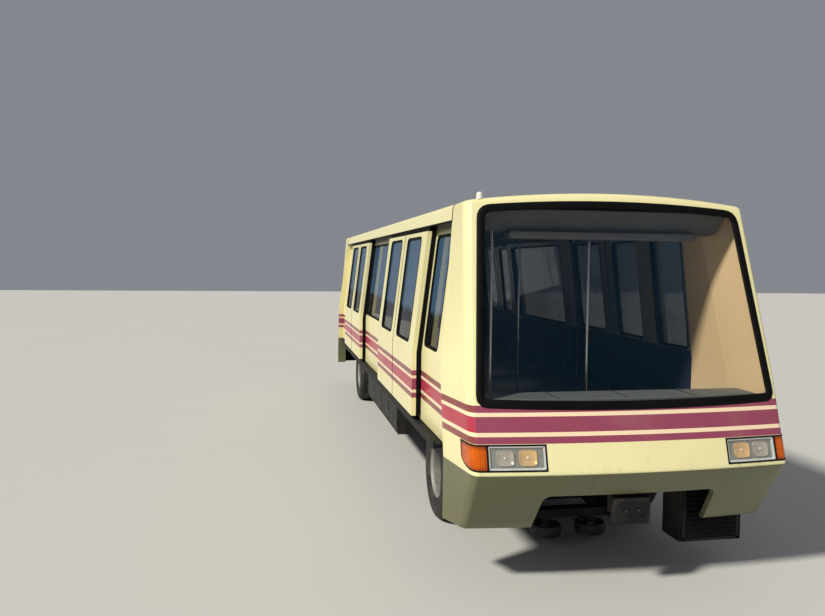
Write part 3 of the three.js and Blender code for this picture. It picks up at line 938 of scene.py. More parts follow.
    def minus(self, *cutters: "Form") -> None:
        """Cuts other forms out of this one. A cut's faces keep the cutter's layer.

        Args:
            cutters: the forms to cut out, one after another.
        """
        whole = self.to_object("whole")
        tools = [cutter.to_object("cutter") for cutter in cutters]
        for held in (whole, *tools):
            for finish in (PAINT, LINER, RUBBER):
                held.data.materials.append(finish.material())
        for tool in tools:
            cut = whole.modifiers.new("cut", "BOOLEAN")
            cut.operation = "DIFFERENCE"
            cut.solver = "MANIFOLD"
            cut.material_mode = "INDEX"
            cut.object = tool
        settled = whole.evaluated_get(bpy.context.evaluated_depsgraph_get())
        data = bpy.data.meshes.new_from_object(settled)
        self.mesh.clear()
        self.mesh.from_mesh(data)
        for spare in (whole, *tools):
            bpy.data.objects.remove(spare)

    def piece(
        self,
        name: str,
        finishes: Finish | Sequence[Finish],
        body: str = CAR,
        edge: float = 0.0,
        crisp: float = 38,
        replaces: Iterable[str] = (),
        change: Matrix | None = None,
    ) -> None:
        """Makes the finished piece.

        Args:
            name: the piece's plain name.
            finishes: one finish for each layer.
            body: the body that it rides on.
            edge: width of the rounding on its edges, in metres.
            crisp: edges that turn more than this many degrees stay sharp.
            replaces: nodes of the model that it stands for.
            change: a turn or move from this form's place.
        """
        made = self.to_object(name)
        if change is not None:
            made.data.transform(change)
        covers = [finishes] if isinstance(finishes, Finish) else list(finishes)
        for cover in covers:
            made.data.materials.append(cover.material())
        made.data.shade_smooth()
        if edge:
            rounding = made.modifiers.new("rounded edges", "BEVEL")
            rounding.width = edge
            rounding.segments = 2
            rounding.limit_method = "ANGLE"
            rounding.angle_limit = math.radians(ROUND_ABOVE)
            rounding.harden_normals = True
        else:
            made.data.set_sharp_from_angle(angle=math.radians(crisp))
        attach(made, body)
        if replaces:
            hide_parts(*replaces)
        log.info("%s rides on %s with %d faces", name, body, len(made.data.polygons))


@dataclass(frozen=True)
class Bend:
    """The cap's corner at one height: a tight bend at the nose that runs on in a wide one."""

    start: float
    first: float
    nose: Triple
    side: Triple


@dataclass(frozen=True)
class Shell:
    """The car's outer surface, as the model has it, with its edges eased."""

    half_width: float = HALF_WIDTH
    waist: float = WAIST
    tumblehome: float = TUMBLEHOME
    crease: float = CREASE
    crease_ease: float = 0.012
    nose: float = 5.77
    rake: float = 0.303
    skirt_bottom: float = 0.53
    skirt_back: float = 0.36
    bow: float = 0.079
    bow_half: float = 1.3
    corner_half: float = 1.345
    corner_taper: float = 0.054
    nose_radius: float = 0.038
    nose_turn: float = 0.9
    side_radius: float = 0.172
    side_turn: float = 1.4
    least_radius: float = 0.005
    rear_x: float = 5.05
    rear_lean: float = 0.22
    wall_inside: float = 0.16
    inner_overrun: float = 0.06
    crown_top: float = 3.263
    crown: float = 0.063
    crown_half: float = 1.115
    roof_ease: float = 0.04
    eaves_guess: float = 3.2
    bow_steps: int = 22
    nose_steps: int = 6
    corner_steps: int = 14
    side_steps: int = 8
    lamp_middle: float = 1.184

    @property
    def last(self) -> int:
        """Number of the ring's last step, at the cap's rear edge."""
        return self.bow_steps + self.corner_steps + self.side_steps

    def side(self, z: float) -> float:
        """Half width of the doors' outer face at a height."""
        return self.half_width - self.tumblehome * max(0.0, z - self.waist)

    def cap_rear(self, z: float) -> float:
        """Where the cap ends at a height."""
        return self.rear_x - self.rear_lean * max(0.0, z - self.crease)

    def roof(self, y: float) -> float:
        """Height of the roof."""
        return self.crown_top - self.crown * (y / self.crown_half) ** 2

    def front(self, z: float, depth: float = 0.0) -> float:
        """Where the cap's face is on the centre line, at a height and a depth under its surface.

        Args:
            z: the height.
            depth: how far it is under the outer surface.

        Returns:
            The place along X.
        """
        below = self.skirt_back / (self.crease - self.skirt_bottom)
        mean, lean = (self.rake + below) / 2, (self.rake - below) / 2
        rise = z - self.crease
        size = math.hypot(rise, self.crease_ease)
        slope = mean * rise / size + lean
        return self.nose - mean * size - lean * rise - depth * math.hypot(1, slope)

    def bend(self, z: float, depth: float) -> Bend:
        """The cap's corner at a height and a depth under its surface.

        Args:
            z: the height.
            depth: how far it is under the outer surface.

        Returns:
            The bend.
        """
        half = self.corner_half - self.corner_taper * max(0.0, z - self.waist) - depth
        side = self.side_radius - depth
        nose = max(self.nose_radius - depth, self.least_radius)
        side_y = half - side
        nose_y = side_y + (side - nose) * math.sin(self.nose_turn)
        start = math.atan(2 * self.bow * nose_y / self.bow_half**2)
        first = nose_y + nose * math.sin(start)
        nose_x = self.bowed(first, z, depth) - nose * math.cos(start)
        side_x = nose_x - (side - nose) * math.cos(self.nose_turn)
        return Bend(start, first, (nose_x, nose_y, nose), (side_x, side_y, side))

    def bowed(self, y: float, z: float, depth: float = 0.0) -> float:
        """Where the cap's bowed face is at a distance from the centre line."""
        return self.front(z, depth) - self.bow * (y / self.bow_half) ** 2

    def point(self, step: float, z: float, depth: float = 0.0, inner: bool = False) -> Vector:
        """A point of the cap's ring.

        Args:
            step: 0 on the centre line, rising towards the rear edge; below 0 on the right side.
            z: its height.
            depth: how far it is under the outer surface.
            inner: whether the side runs to the walls' inner face.

        Returns:
            The point.
        """
        way = -1 if step < 0 else 1
        step = abs(step)
        bend = self.bend(z, depth)
        if step <= self.bow_steps:
            y = bend.first * step / self.bow_steps
            return Vector((self.bowed(y, z, depth), way * y, z))
        turned = step - self.bow_steps
        if turned <= self.nose_steps:
            angle = bend.start + (self.nose_turn - bend.start) * turned / self.nose_steps
            centre_x, centre_y, radius = bend.nose
        else:
            share = min((turned - self.nose_steps) / (self.corner_steps - self.nose_steps), 1.0)
            angle = self.nose_turn + (self.side_turn - self.nose_turn) * share
            centre_x, centre_y, radius = bend.side
        x, y = centre_x + radius * math.cos(angle), centre_y + radius * math.sin(angle)
        run = (turned - self.corner_steps) / self.side_steps
        if run > 0:
            rear_y = self.side(z) - (self.wall_inside if inner else depth)
            share = min(run * self.side_steps / (self.side_steps - 1), 1.0) if inner else run
            x += (self.cap_rear(z) - x) * share - (self.inner_overrun if inner and step == self.last else 0.0)
            y += (rear_y - y) * share
        return Vector((x, way * y, z))

    @cached_property
    def lengths(self) -> list[float]:
        """Distance round the ring from the centre line to each step, at the lamps' height.

        Returns:
            The distances, in metres.
        """
        spots = [self.point(step, self.lamp_middle) for step in range(self.last + 1)]
        made = [0.0]
        for before, after in zip(spots, spots[1:]):
            made.append(made[-1] + (after - before).length)
        return made

    def step_along(self, length: float) -> float:
        """The ring's step at a distance round it, at the lamps' height.

        Args:
            length: the distance from the centre line.

        Returns:
            The step, with its fraction.
        """
        for index, (before, after) in enumerate(zip(self.lengths, self.lengths[1:])):
            if length <= after:
                return index + (length - before) / (after - before)
        return float(self.last)

    def along(self, length: float, z: float, depth: float = 0.0, way: int = 1) -> Vector:
        """The point at a distance round the ring, on the side that way names."""
        point = self.point(self.step_along(length), z, depth)
        return Vector((point.x, way * point.y, point.z))

    def on_face(self, y: float, z: float, depth: float = 0.0) -> Vector:
        """The point of the cap's front face, its corner included, that is seen at (y, z) from ahead.

        Args:
            y, z: where it is seen.
            depth: how far it is under the outer surface.

        Returns:
            The point.
        """
        bend = self.bend(z, depth)
        if abs(y) <= bend.first:
            return Vector((self.bowed(y, z, depth), y, z))
        centre_x, centre_y, radius = bend.nose
        sine = min((abs(y) - centre_y) / radius, math.sin(self.nose_turn))
        return Vector((centre_x + radius * math.sqrt(1 - sine * sine), y, z))

    def ring(self, z: float, depth: float = 0.0, inner: bool = False) -> Row:
        """The cap's whole ring at a height, from the right rear edge to the left."""
        return [self.point(step, z, depth, inner) for step in range(-self.last, self.last + 1)]

    def eaves(self, share: float) -> Row:
        """A ring in the rounding between the cap's face and its roof: 0 on the face, 1 on the roof.

        Args:
            share: how far round the rounding it lies.

        Returns:
            The ring, from the right rear edge to the left.
        """
        angle = share * math.pi / 2
        depth = self.roof_ease * (1 - math.cos(angle))
        drop = self.roof_ease * (1 - math.sin(angle))
        made = []
        for step in range(-self.last, self.last + 1):
            z = self.eaves_guess
            for _ in range(4):
                z = self.roof(self.point(step, z, depth).y) - drop
            made.append(self.point(step, z, depth))
        return made

    def slab(
        self, span: Callable[[float], Pair], heights: Sequence[float], depths: Pair, way: int,
        across: int = 30, layer: int = 0,
    ) -> Form:
        """A block that follows the cap's surface between two depths.

        Args:
            span: gives the block's first and last distance round the ring at a height.
            heights: its levels from the lowest.
            depths: the depths of its outer and inner faces.
            way: -1 for the right side of the car.
            across: its divisions.
            layer: which of a piece's finishes it gets.

        Returns:
            The block.
        """
        rows = []
        for height in heights:
            first, last = span(height)
            places = [first + (last - first) * index / across for index in range(across + 1)]
            outer = [self.along(place, height, depths[0], way) for place in places]
            inner = [self.along(place, height, depths[1], way) for place in reversed(places)]
            rows.append(outer + inner)
        return Form(layer).skin(rows, ring=True, ends=True)


SHELL = Shell()


def rounded_node(node: str, suffix: str, finish: Finish, edge: float, body: str = CAR) -> None:
    """Makes a piece with the shape of a node of the model and rounded edges."""
    Form().node(node).piece(f"{node}_{suffix}", finish, body, edge=edge, replaces=[node])


def dress_node(name: str, finish: Finish) -> None:
    """Gives a node of the model a finish and leaves its shape alone.

    Args:
        name: the node's name.
        finish: what covers it.
    """
    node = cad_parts[name]
    node.data.materials.clear()
    node.data.materials.append(finish.material())
    log.info("%s keeps its shape, in %s", name, finish.name)


@dataclass
class EndPart:
    """Something that each end has. It is made for the front end and turned to its own."""

    end: End

    def add(self, form: Form, what: str, finishes: Finish | Sequence[Finish], **options: object) -> None:
        """Makes a piece of this end, turned to its place."""
        form.piece(f"{self.end.value}_{what}", finishes, change=self.end.turn, **options)

    def node(self, what: str) -> str:
        """Name of this end's node of the model."""
        return f"{self.end.value}_{what}"


@dataclass
class LampUnit(EndPart):
    """A lamp unit: bezel, two reflectors behind a clear lens, and an amber lens round the corner."""

    side: Side
    low: float = 1.085
    high: float = 1.283
    starts: float = 0.7562
    stops: float = 1.54
    split: float = 1.2175
    depth: float = 0.0343
    overrun: float = 0.02
    wall: float = 0.012
    rounding: Pair = (0.21, 0.085)
    curve_steps: int = 10
    foot_steps: int = 24
    head_steps: int = 30
    gap: float = 0.0006
    lip: float = 0.003
    proud: float = 0.0055
    overlap: float = 0.002
    back_plate: float = 0.029
    lens_gap: float = 0.0008
    lens_proud: float = 0.0035
    amber_depth: float = 0.012
    frame_corner: float = 0.012
    frame_section: Pairs = (
        (0.0, 0.006), (0.0, 0.0012), (-0.0085, 0.0012), (-0.0105, 0.004), (-0.0105, 0.024), (0.0, 0.024),
    )
    ground_inset: float = 0.004
    ground_depths: Pair = (0.021, 0.028)
    reflectors: tuple[tuple[float, float, bool], ...] = ((0.835, 0.975, True), (1.015, 1.152, False))
    reflector_half: float = 0.057
    reflector_corner: float = 0.035
    bowl: Pairs = (
        (1.0, 0.022), (1.0, 0.0055), (0.96, 0.0045), (0.92, 0.006), (0.8, 0.0125), (0.6, 0.0175),
        (0.4, 0.0195), (0.2, 0.0203), (0.02, 0.0205),
    )
    bulb: Pairs = ((0.008, -0.006), (0.01, -0.002), (0.009, 0.003), (0.005, 0.006))
    bulb_ends: Pair = (-0.006, 0.007)
    bulb_depth: float = 0.0125

    @property
    def way(self) -> int:
        """Which side of the front end the unit is made on, before it is turned to its own end."""
        return self.side.sign * self.end.sign

    @property
    def name(self) -> str:
        """The unit's name, without its end."""
        return f"lamp_{self.side.value}"

    @property
    def back(self) -> float:
        """Depth of the unit's rear face, which stands a little off the bottom of its recess."""
        return self.depth - 0.001

    @property
    def clear(self) -> Pair:
        """Where the clear lens begins and stops round the cap."""
        return self.starts + self.wall, self.split - self.wall / 2

    def heights(self, inset: float) -> list[float]:
        """Levels of the unit drawn in by an inset, close together in its rounded corner.

        Args:
            inset: how far the unit is drawn in.

        Returns:
            The levels from the lowest.
        """
        low, high = self.low + inset, self.high - inset
        rise = self.rounding[1] - inset
        steps = self.curve_steps
        curved = [low + rise * (1 - math.cos(math.pi / 2 * step / steps)) for step in range(steps + 1)]
        return curved + [low + rise + (high - low - rise) * step / 3 for step in (1, 2, 3)]

    def span(self, inset: float, start: float | None = None) -> Callable[[float], Pair]:
        """Gives the unit's first and last distance round the cap at a height.

        Args:
            inset: how far the unit is drawn in.
            start: where it begins, if not at its inner end.

        Returns:
            The function of the height.
        """
        begin = self.starts + inset if start is None else start
        reach, rise = (size - inset for size in self.rounding)
        end = self.stops - inset

        def span(z: float) -> Pair:
            """The two distances at a height."""
            up = min(max((z - self.low - inset) / rise, 0.0), 1.0)
            return begin, end - reach * (1 - math.sqrt(1 - (1 - up) ** 2))

        return span

    def outline(self, inset: float) -> Outline:
        """Closed outline of the unit in distances round the cap and heights.

        Args:
            inset: how far the unit is drawn in.

        Returns:
            The outline's points, anticlockwise from its inner lower corner.
        """
        span, heights = self.span(inset), self.heights(inset)
        low, high = heights[0], heights[-1]
        begin, turned = span(low)
        end = span(high)[1]
        foot, head = self.foot_steps, self.head_steps
        made = [(begin + (turned - begin) * step / foot, low) for step in range(foot)]
        made += [(span(z)[1], z) for z in heights]
        made += [(begin + (end - begin) * step / head, high) for step in range(head - 1, -1, -1)]
        return made + [(begin, low + (high - low) * share) for share in (0.75, 0.5, 0.25)]

    def recess(self) -> Form:
        """The hole for the unit in the cap."""
        depths = (-self.overrun, self.depth)
        return SHELL.slab(self.span(0.0), self.heights(0.0), depths, self.way, layer=Layer.DARK)

    def placed(self, line: Outline, depth: float) -> Row:
        """An outline laid on the cap's surface at a depth."""
        return [SHELL.along(place, z, depth, self.way) for place, z in line]

    def build(self) -> None:
        """Makes the unit."""
        self.bezel()
        self.frame()
        for index, (start, finish, warm) in enumerate(self.reflectors, 1):
            self.reflector(index, (start, finish), GOLD_MIRROR if warm else MIRROR)
        self.lenses()

    def bezel(self) -> None:
        """The rubber bezel with the bar between the lenses and the plate behind them."""
        wall, lip, back = self.wall, self.lip, self.back
        profile = (
            (self.gap, back), (self.gap, -lip), (lip, -self.proud), (wall - lip, -self.proud), (wall, -lip),
            (wall, back),
        )
        rows = [self.placed(self.outline(inset), depth) for inset, depth in profile]
        bezel = Form().skin(rows, ring=True, wrap=True)
        bar = (self.split - wall / 2, self.split + wall / 2)
        levels = [self.low + self.overlap, self.high - self.overlap]
        bezel.take(SHELL.slab(lambda z: bar, levels, (-0.004, back), self.way, 2))
        span, levels = self.span(self.overlap), self.heights(self.overlap)
        bezel.take(SHELL.slab(span, levels, (self.back_plate, back - 0.0005), self.way))
        self.add(bezel, self.name + "_bezel", RUBBER, edge=0.0012, replaces=[self.node(self.name)])

    def frame(self) -> None:
        """The silver frame round the reflectors and the grey ground that they stand on."""
        low, high = self.low + self.wall, self.high - self.wall
        start, stop = self.clear
        plate = rectangle(start + 0.001, stop - 0.001, low + 0.001, high - 0.001, self.frame_corner)
        plate = evenly(plate, 120)
        rows = [self.placed(offset(plate, distance), depth) for distance, depth in self.frame_section]
        self.add(Form().skin(rows, ring=True, wrap=True), self.name + "_frame", LAMP_FRAME)
        inset = self.ground_inset
        levels = [low + inset, high - inset]
        ground = SHELL.slab(lambda z: (start + inset, stop - inset), levels, self.ground_depths, self.way, 16)
        self.add(ground, self.name + "_ground", LAMP_GROUND)

    def reflector(self, index: int, span: Pair, finish: Finish) -> None:
        """One square reflector with its bulb.

        Args:
            index: its number from the car's middle.
            span: where it begins and stops round the cap.
            finish: its mirror.
        """
        middle = (self.low + self.wall + (self.high - self.wall)) / 2
        centre = sum(span) / 2
        half = self.reflector_half
        outline = evenly(rectangle(*span, middle - half, middle + half, self.reflector_corner), 64)
        rows = []
        for share, depth in self.bowl:
            line = [(centre + (u - centre) * share, middle + (v - middle) * share) for u, v in outline]
            rows.append(self.placed(line, depth))
        self.add(Form().skin(rows, ring=True, ends=True), f"{self.name}_reflector_{index}", finish)
        glass = spindle(self.bulb_ends[0], self.bulb, self.bulb_ends[1])
        spot = SHELL.along(centre, middle, self.bulb_depth, self.way)
        bulb = Form().lathe(glass, spot, Vector((0.96, self.way * 0.1, 0.25)), 20)
        self.add(bulb, f"{self.name}_bulb_{index}", BULB)

    def lenses(self) -> None:
        """The clear lens and the amber one."""
        start, stop = self.clear[0] + self.lens_gap, self.clear[1] - self.lens_gap
        levels = [self.low + self.wall, self.high - self.wall]
        lens = SHELL.slab(lambda z: (start, stop), levels, (-self.lens_proud, 0.0), self.way, 16)
        self.add(lens, self.name + "_clear_lens", CLEAR_LENS, edge=0.0012)
        inset = self.wall + self.gap
        span = self.span(inset, self.split + self.wall / 2 + self.lens_gap)
        depths = (-self.lens_proud, self.amber_depth)
        lens = SHELL.slab(span, self.heights(inset), depths, self.way, 24)
        self.add(lens, self.name + "_amber_lens", AMBER_LENS, edge=0.002)


@dataclass
class Bench(EndPart):
    """The grey bench under a windscreen, with a welt along its edge and seams between the seats."""

    welt_x: float = 5.152
    welt_z: float = 1.562
    welt_ys: Numbers = (-1.176, -0.6, 0.0, 0.6, 1.176)
    welt_radius: float = 0.006
    seam_xs: Numbers = (5.2, 5.3, 5.5)
    seam_ys: Numbers = (-0.59, 0.0, 0.59)
    seam_z: float = 1.5995
    seam_radius: float = 0.004

    def build(self) -> None:
        """Makes the bench."""
        rounded_node(self.node("bench"), "cover", BENCH_SHELL, 0.01)
        welt = Form()
        welt.tube([Vector((self.welt_x, y, self.welt_z)) for y in self.welt_ys], self.welt_radius, 10)
        for y in self.seam_ys:
            welt.tube([Vector((x, y, self.seam_z)) for x in self.seam_xs], self.seam_radius, 8)
        self.add(welt, "bench_welts", RUBBER, crisp=60)


@dataclass
class Coupler(EndPart):
    """The drawbar with bolts in its root plate and a faced head."""

    root_x: float = 5.4
    root_ys: Numbers = (-0.2, 0.2)
    root_zs: Numbers = (0.94, 1.015)
    face_x: Pair = (5.629, 5.636)
    face: Opening = (-0.12, 0.12, 0.63, 0.78, 0.02)
    head_x: float = 5.634
    bolt_ys: Numbers = (-0.09, 0.09)
    bolt_zs: Numbers = (0.655, 0.755)
    contact_ys: Numbers = (-0.055, 0.055)
    contact_z: float = 0.705
    contact: Pairs = ((0.026, 0), (0.026, 0.012), (0.02, 0.02))

    def build(self) -> None:
        """Makes the coupler."""
        rounded_node(self.node("coupler"), "bar", FRAME_PAINT, 0.006)
        trim = Form()
        for y in self.root_ys:
            for z in self.root_zs:
                trim.lathe(BOLT_HEAD, Vector((self.root_x, y, z)), FORWARD, 6)
        trim.prism(rectangle(*self.face), *self.face_x, "x")
        for z in self.bolt_zs:
            for y in self.bolt_ys:
                trim.lathe(BOLT_HEAD, Vector((self.head_x, y, z)), FORWARD, 6)
        for y in self.contact_ys:
            trim.lathe(spindle(0, self.contact, 0.02), Vector((self.head_x, y, self.contact_z)), FORWARD, 20)
        self.add(trim, "coupler_face", BOX_PAINT, edge=0.0015)


@dataclass
class EndCap(EndPart):
    """One end of the car: the moulded cap with its liner and windscreen, and what it carries."""

    thickness: float = 0.05
    foot: Pair = (0.53, 0.004)
    face_levels: Numbers = (
        0.534, 0.62, 0.72, 0.82, 0.9, 0.96, 1.0, 1.024, 1.038, 1.046, 1.052, 1.056, 1.06, 1.064, 1.068,
        1.074, 1.082, 1.096, 1.12, 1.16, 1.28, 1.4, 1.52, 1.64, 1.75, 1.86, 1.98, 2.1, 2.22, 2.34, 2.46,
        2.58, 2.7, 2.82, 2.94, 3.04,
    )
    inner_levels: Numbers = (0.47, 0.8, 1.0, 1.04, 1.06, 1.08, 1.12, 1.15, 1.4, 1.75, 2.2, 2.7, 3.13)
    eaves_steps: int = 6
    screen_foot: Quad = (1.251, 1.58, 1.555, 0.06)
    screen_head: Quad = (1.146, 3.115, 3.165, 0.085)
    screen_ease: float = 0.05
    screen_points: int = 240
    cut_x: Pair = (4.9, 6.0)
    cutout_corners: tuple[Triple, ...] = (
        (-0.767, 0.47, 0), (0.767, 0.47, 0), (0.735, 0.85, 0.07), (-0.735, 0.85, 0.07),
    )
    gasket: Pairs = (
        (0.030, 0.0), (0.028, -0.005), (0.016, -0.010), (-0.010, -0.011), (-0.030, -0.006), (-0.036, 0.0),
        (-0.036, 0.008), (-0.002, 0.008), (-0.001, 0.0),
    )
    pane_inset: float = 0.008
    pane: float = 0.012
    pane_gap: float = 0.001
    pane_middle: Pair = (0.0, 2.35)
    pane_rings: int = 14
    marker: Pair = (5.02, -1.135)
    marker_foot: Pairs = ((0.032, 0), (0.032, 0.006))
    marker_radius: float = 0.026
    marker_shoulders: Pair = (0.009, 0.042)
    marker_dome: float = 0.019

    def build(self) -> None:
        """Makes the whole end."""
        self.cap()
        self.windscreen()
        for side in Side:
            LampUnit(self.end, side).build()
        Bench(self.end).build()
        Coupler(self.end).build()
        self.marker_post()

    @cached_property
    def screen(self) -> Outline:
        """The windscreen's opening, with a sagging foot and a crowned head.

        Returns:
            The opening's (y, z) points.
        """
        foot_half, foot_z, foot_middle, foot_ease = self.screen_foot
        head_half, head_z, head_middle, head_ease = self.screen_head
        ease = self.screen_ease
        corners = [(-foot_half, foot_z, foot_ease)]
        for share in (-0.66, -0.33, 0.0, 0.33, 0.66):
            corners.append((share * foot_half, foot_middle + (foot_z - foot_middle) * share**2, ease))
        corners.append((foot_half, foot_z, foot_ease))
        corners.append((head_half, head_z, head_ease))
        for share in (0.8, 0.6, 0.4, 0.2, 0.0, -0.2, -0.4, -0.6, -0.8):
            corners.append((share * head_half, head_middle + (head_z - head_middle) * share**2, ease))
        corners.append((-head_half, head_z, head_ease))
        return evenly(rounded_outline(corners, 12), self.screen_points)

    def cap(self) -> None:
        """The moulded cap, painted outside and lined inside."""
        whole = self.outer_skin()
        rings = [SHELL.ring(z, self.thickness, True) for z in self.inner_levels]
        inner = Form(Layer.LINED).skin(rings, ring=True, ends=True)
        opening = Form(Layer.DARK).prism(self.screen, *self.cut_x, "x")
        cutout = Form().prism(rounded_outline(self.cutout_corners), *self.cut_x, "x")
        lamps = sorted((LampUnit(self.end, side) for side in Side), key=lambda lamp: lamp.way)
        whole.minus(inner, opening, cutout, *(lamp.recess() for lamp in lamps))
        for face in whole.mesh.faces:
            if face.material_index == Layer.LINED and face.calc_center_median().z < FLOOR_TOP:
                face.material_index = Layer.DARK
        self.add(whole, "cap_shell", [PAINT, LINER, RUBBER], replaces=[self.node("cap")])

    def outer_skin(self) -> Form:
        """The solid cap: its face, sides and eaves, then its underside, and its roof and rear.

        Returns:
            The cap before anything is cut out of it.
        """
        rows = [SHELL.ring(*self.foot)] + [SHELL.ring(z) for z in self.face_levels]
        rows += [SHELL.eaves(step / self.eaves_steps) for step in range(self.eaves_steps + 1)]
        edge, middle = rows[-1], SHELL.last
        turn = SHELL.bow_steps + SHELL.corner_steps
        start = edge[middle - turn : middle + turn + 1]
        roof = [start]
        for step in range(1, SHELL.side_steps + 1):
            left, right = edge[middle + turn + step], edge[middle - turn - step]
            share = step / SHELL.side_steps
            row = []
            for point in start:
                y = point.y * left.y / start[-1].y
                z = SHELL.roof(y)
                row.append(Vector((point.x + (SHELL.cap_rear(z) - point.x) * share, y, z)))
            row[0], row[-1] = right, left
            roof.append(row)
        return Form().skin(rows, ring=True).fill(rows[0]).skin(roof).fill(roof[-1])

    def windscreen(self) -> None:
        """The pane and the gasket that holds it."""
        near, far = self.pane_inset, self.pane_inset + self.pane
        shrunk = offset(self.screen, -self.pane_gap)

        def place(point: Pair, share: float, depth: float) -> Vector:
            """A point part of the way from the pane's middle to its edge."""
            y, z = (a + (b - a) * share for a, b in zip(self.pane_middle, point))
            return SHELL.on_face(y, z, depth)

        shares = [index / self.pane_rings for index in range(self.pane_rings + 1)]
        fronts = [[place(point, share, near) for share in shares] for point in shrunk]
        backs = [[place(point, share, far) for share in reversed(shares)] for point in shrunk]
        pane = Form().skin([front + back for front, back in zip(fronts, backs)], wrap=True)
        self.add(pane, "windscreen_glass", SCREEN_GLASS, replaces=[self.node("windscreen")])
        rows = []
        for distance, depth in self.gasket:
            rows.append([SHELL.on_face(y, z, depth) for y, z in offset(self.screen, distance)])
        self.add(Form().skin(rows, ring=True, wrap=True), "windscreen_gasket", RUBBER, crisp=50)

    def marker_post(self) -> None:
        """The small domed post on the roof's front edge."""
        x, y = self.marker
        radius, (low, high), dome = self.marker_radius, self.marker_shoulders, self.marker_dome
        side = [*self.marker_foot, (radius, low), (radius, high)]
        side += [(radius * math.cos(a), high + dome * math.sin(a)) for a in (0.3, 0.6, 0.9, 1.2, 1.5)]
        post = Form().lathe(spindle(0, side, high + dome), Vector((x, y, SHELL.roof(y) - 0.004)), UP, 28)
        self.add(post, "marker_post", WHITE, crisp=50)


def window_gasket(name: str, side: Side, window: Opening, depths: Pair, body: str) -> None:
    """The rubber that holds a side window, proud of the panel on both faces.

    Args:
        name: the piece's name.
        side: the car's side.
        window: x0, x1, z0, z1 and corner radius of the opening.
        depths: how far the panel's outer and inner faces lie under the doors' outer face.
        body: the body that it rides on.
    """
    outline = evenly(rectangle(*window), 160)
    outer, inner = depths
    lip = ((0.014, 0.0), (0.013, -0.003), (0.006, -0.0045), (-0.006, -0.003), (-0.009, 0.004))
    profile = [(distance, outer + below) for distance, below in lip]
    profile += [(distance, inner - below) for distance, below in reversed(lip)]
    profile += [(0.0, inner), (0.0, outer)]
    rows = []
    for distance, below in profile:
        line = offset(outline, distance)
        rows.append([Vector((x, side.sign * (SHELL.side(z) - below), z)) for x, z in line])
    Form().skin(rows, ring=True, wrap=True).piece(name, RUBBER, body, crisp=50)


@dataclass
class SideWall:
    """The recessed wall panels of one side with their windows, and the header over the doors."""

    side: Side
    recess: float = 0.1
    thickness: float = 0.06
    window_z: Pair = (1.84, 2.93)
    panels: tuple[tuple[str, float, float, float], ...] = (
        ("front", 3.66, 4.26, 0.065), ("middle", -1.08, 1.08, 0.02), ("rear", -4.26, -3.66, 0.065),
    )
    header_skin: float = 1.23
    rail_z: float = 3.03
    rail_end: float = 4.6

    def build(self) -> None:
        """Makes the side."""
        for name, x0, x1, radius in self.panels:
            self.panel(name, (x0, x1), radius)
        self.header()
        self.drip_rail()

    def panel(self, name: str, window_x: Pair, radius: float) -> None:
        """One wall panel, its gasket and its pane.

        Args:
            name: the panel's name, without its side.
            window_x: where its window begins and stops.
            radius: radius of the window's corners.
        """
        side = self.side.value
        rounded_node(f"wall_{name}_{side}", "panel", WALL_PAINT, 0.003)
        depths = (self.recess, self.recess + self.thickness)
        window = (*window_x, *self.window_z, radius)
        window_gasket(f"window_gasket_{name}_{side}", self.side, window, depths, CAR)
        dress_node(f"glass_{name}_{side}", SIDE_GLASS)

    def header(self) -> None:
        """The header, painted outside and grey where it looks into the cabin; its underside and its channel
        take the same grey as painted shade.
        """
        node = f"header_{self.side.value}"
        out = self.side.sign
        rail = Form().node(node)
        rail.face_outwards()
        for face in rail.mesh.faces:
            y, looks = face.calc_center_median().y * out, face.normal
            # Faces inboard of the skin, facing inwards or facing down are grey; on the underside and in the
            # channel this grey is painted shade.
            greyed = y < self.header_skin or looks.y * out < -0.5 or looks.z < -0.5
            face.material_index = int(greyed)
        rail.piece(node + "_rail", [ROOF_PAINT, CEILING], edge=0.003, replaces=[node])

    def drip_rail(self) -> None:
        """The thin rail along the header's lower edge."""
        z = self.rail_z
        y = SHELL.side(z) - 0.002
        section = [(y, z - 0.006), (y + 0.006, z - 0.006), (y + 0.006, z + 0.004), (y + 0.001, z + 0.012)]
        rail = Form().prism([(self.side.sign * y, z) for y, z in section], -self.rail_end, self.rail_end, "x")
        rail.piece(f"drip_rail_{self.side.value}", RUBBER, edge=0.001)


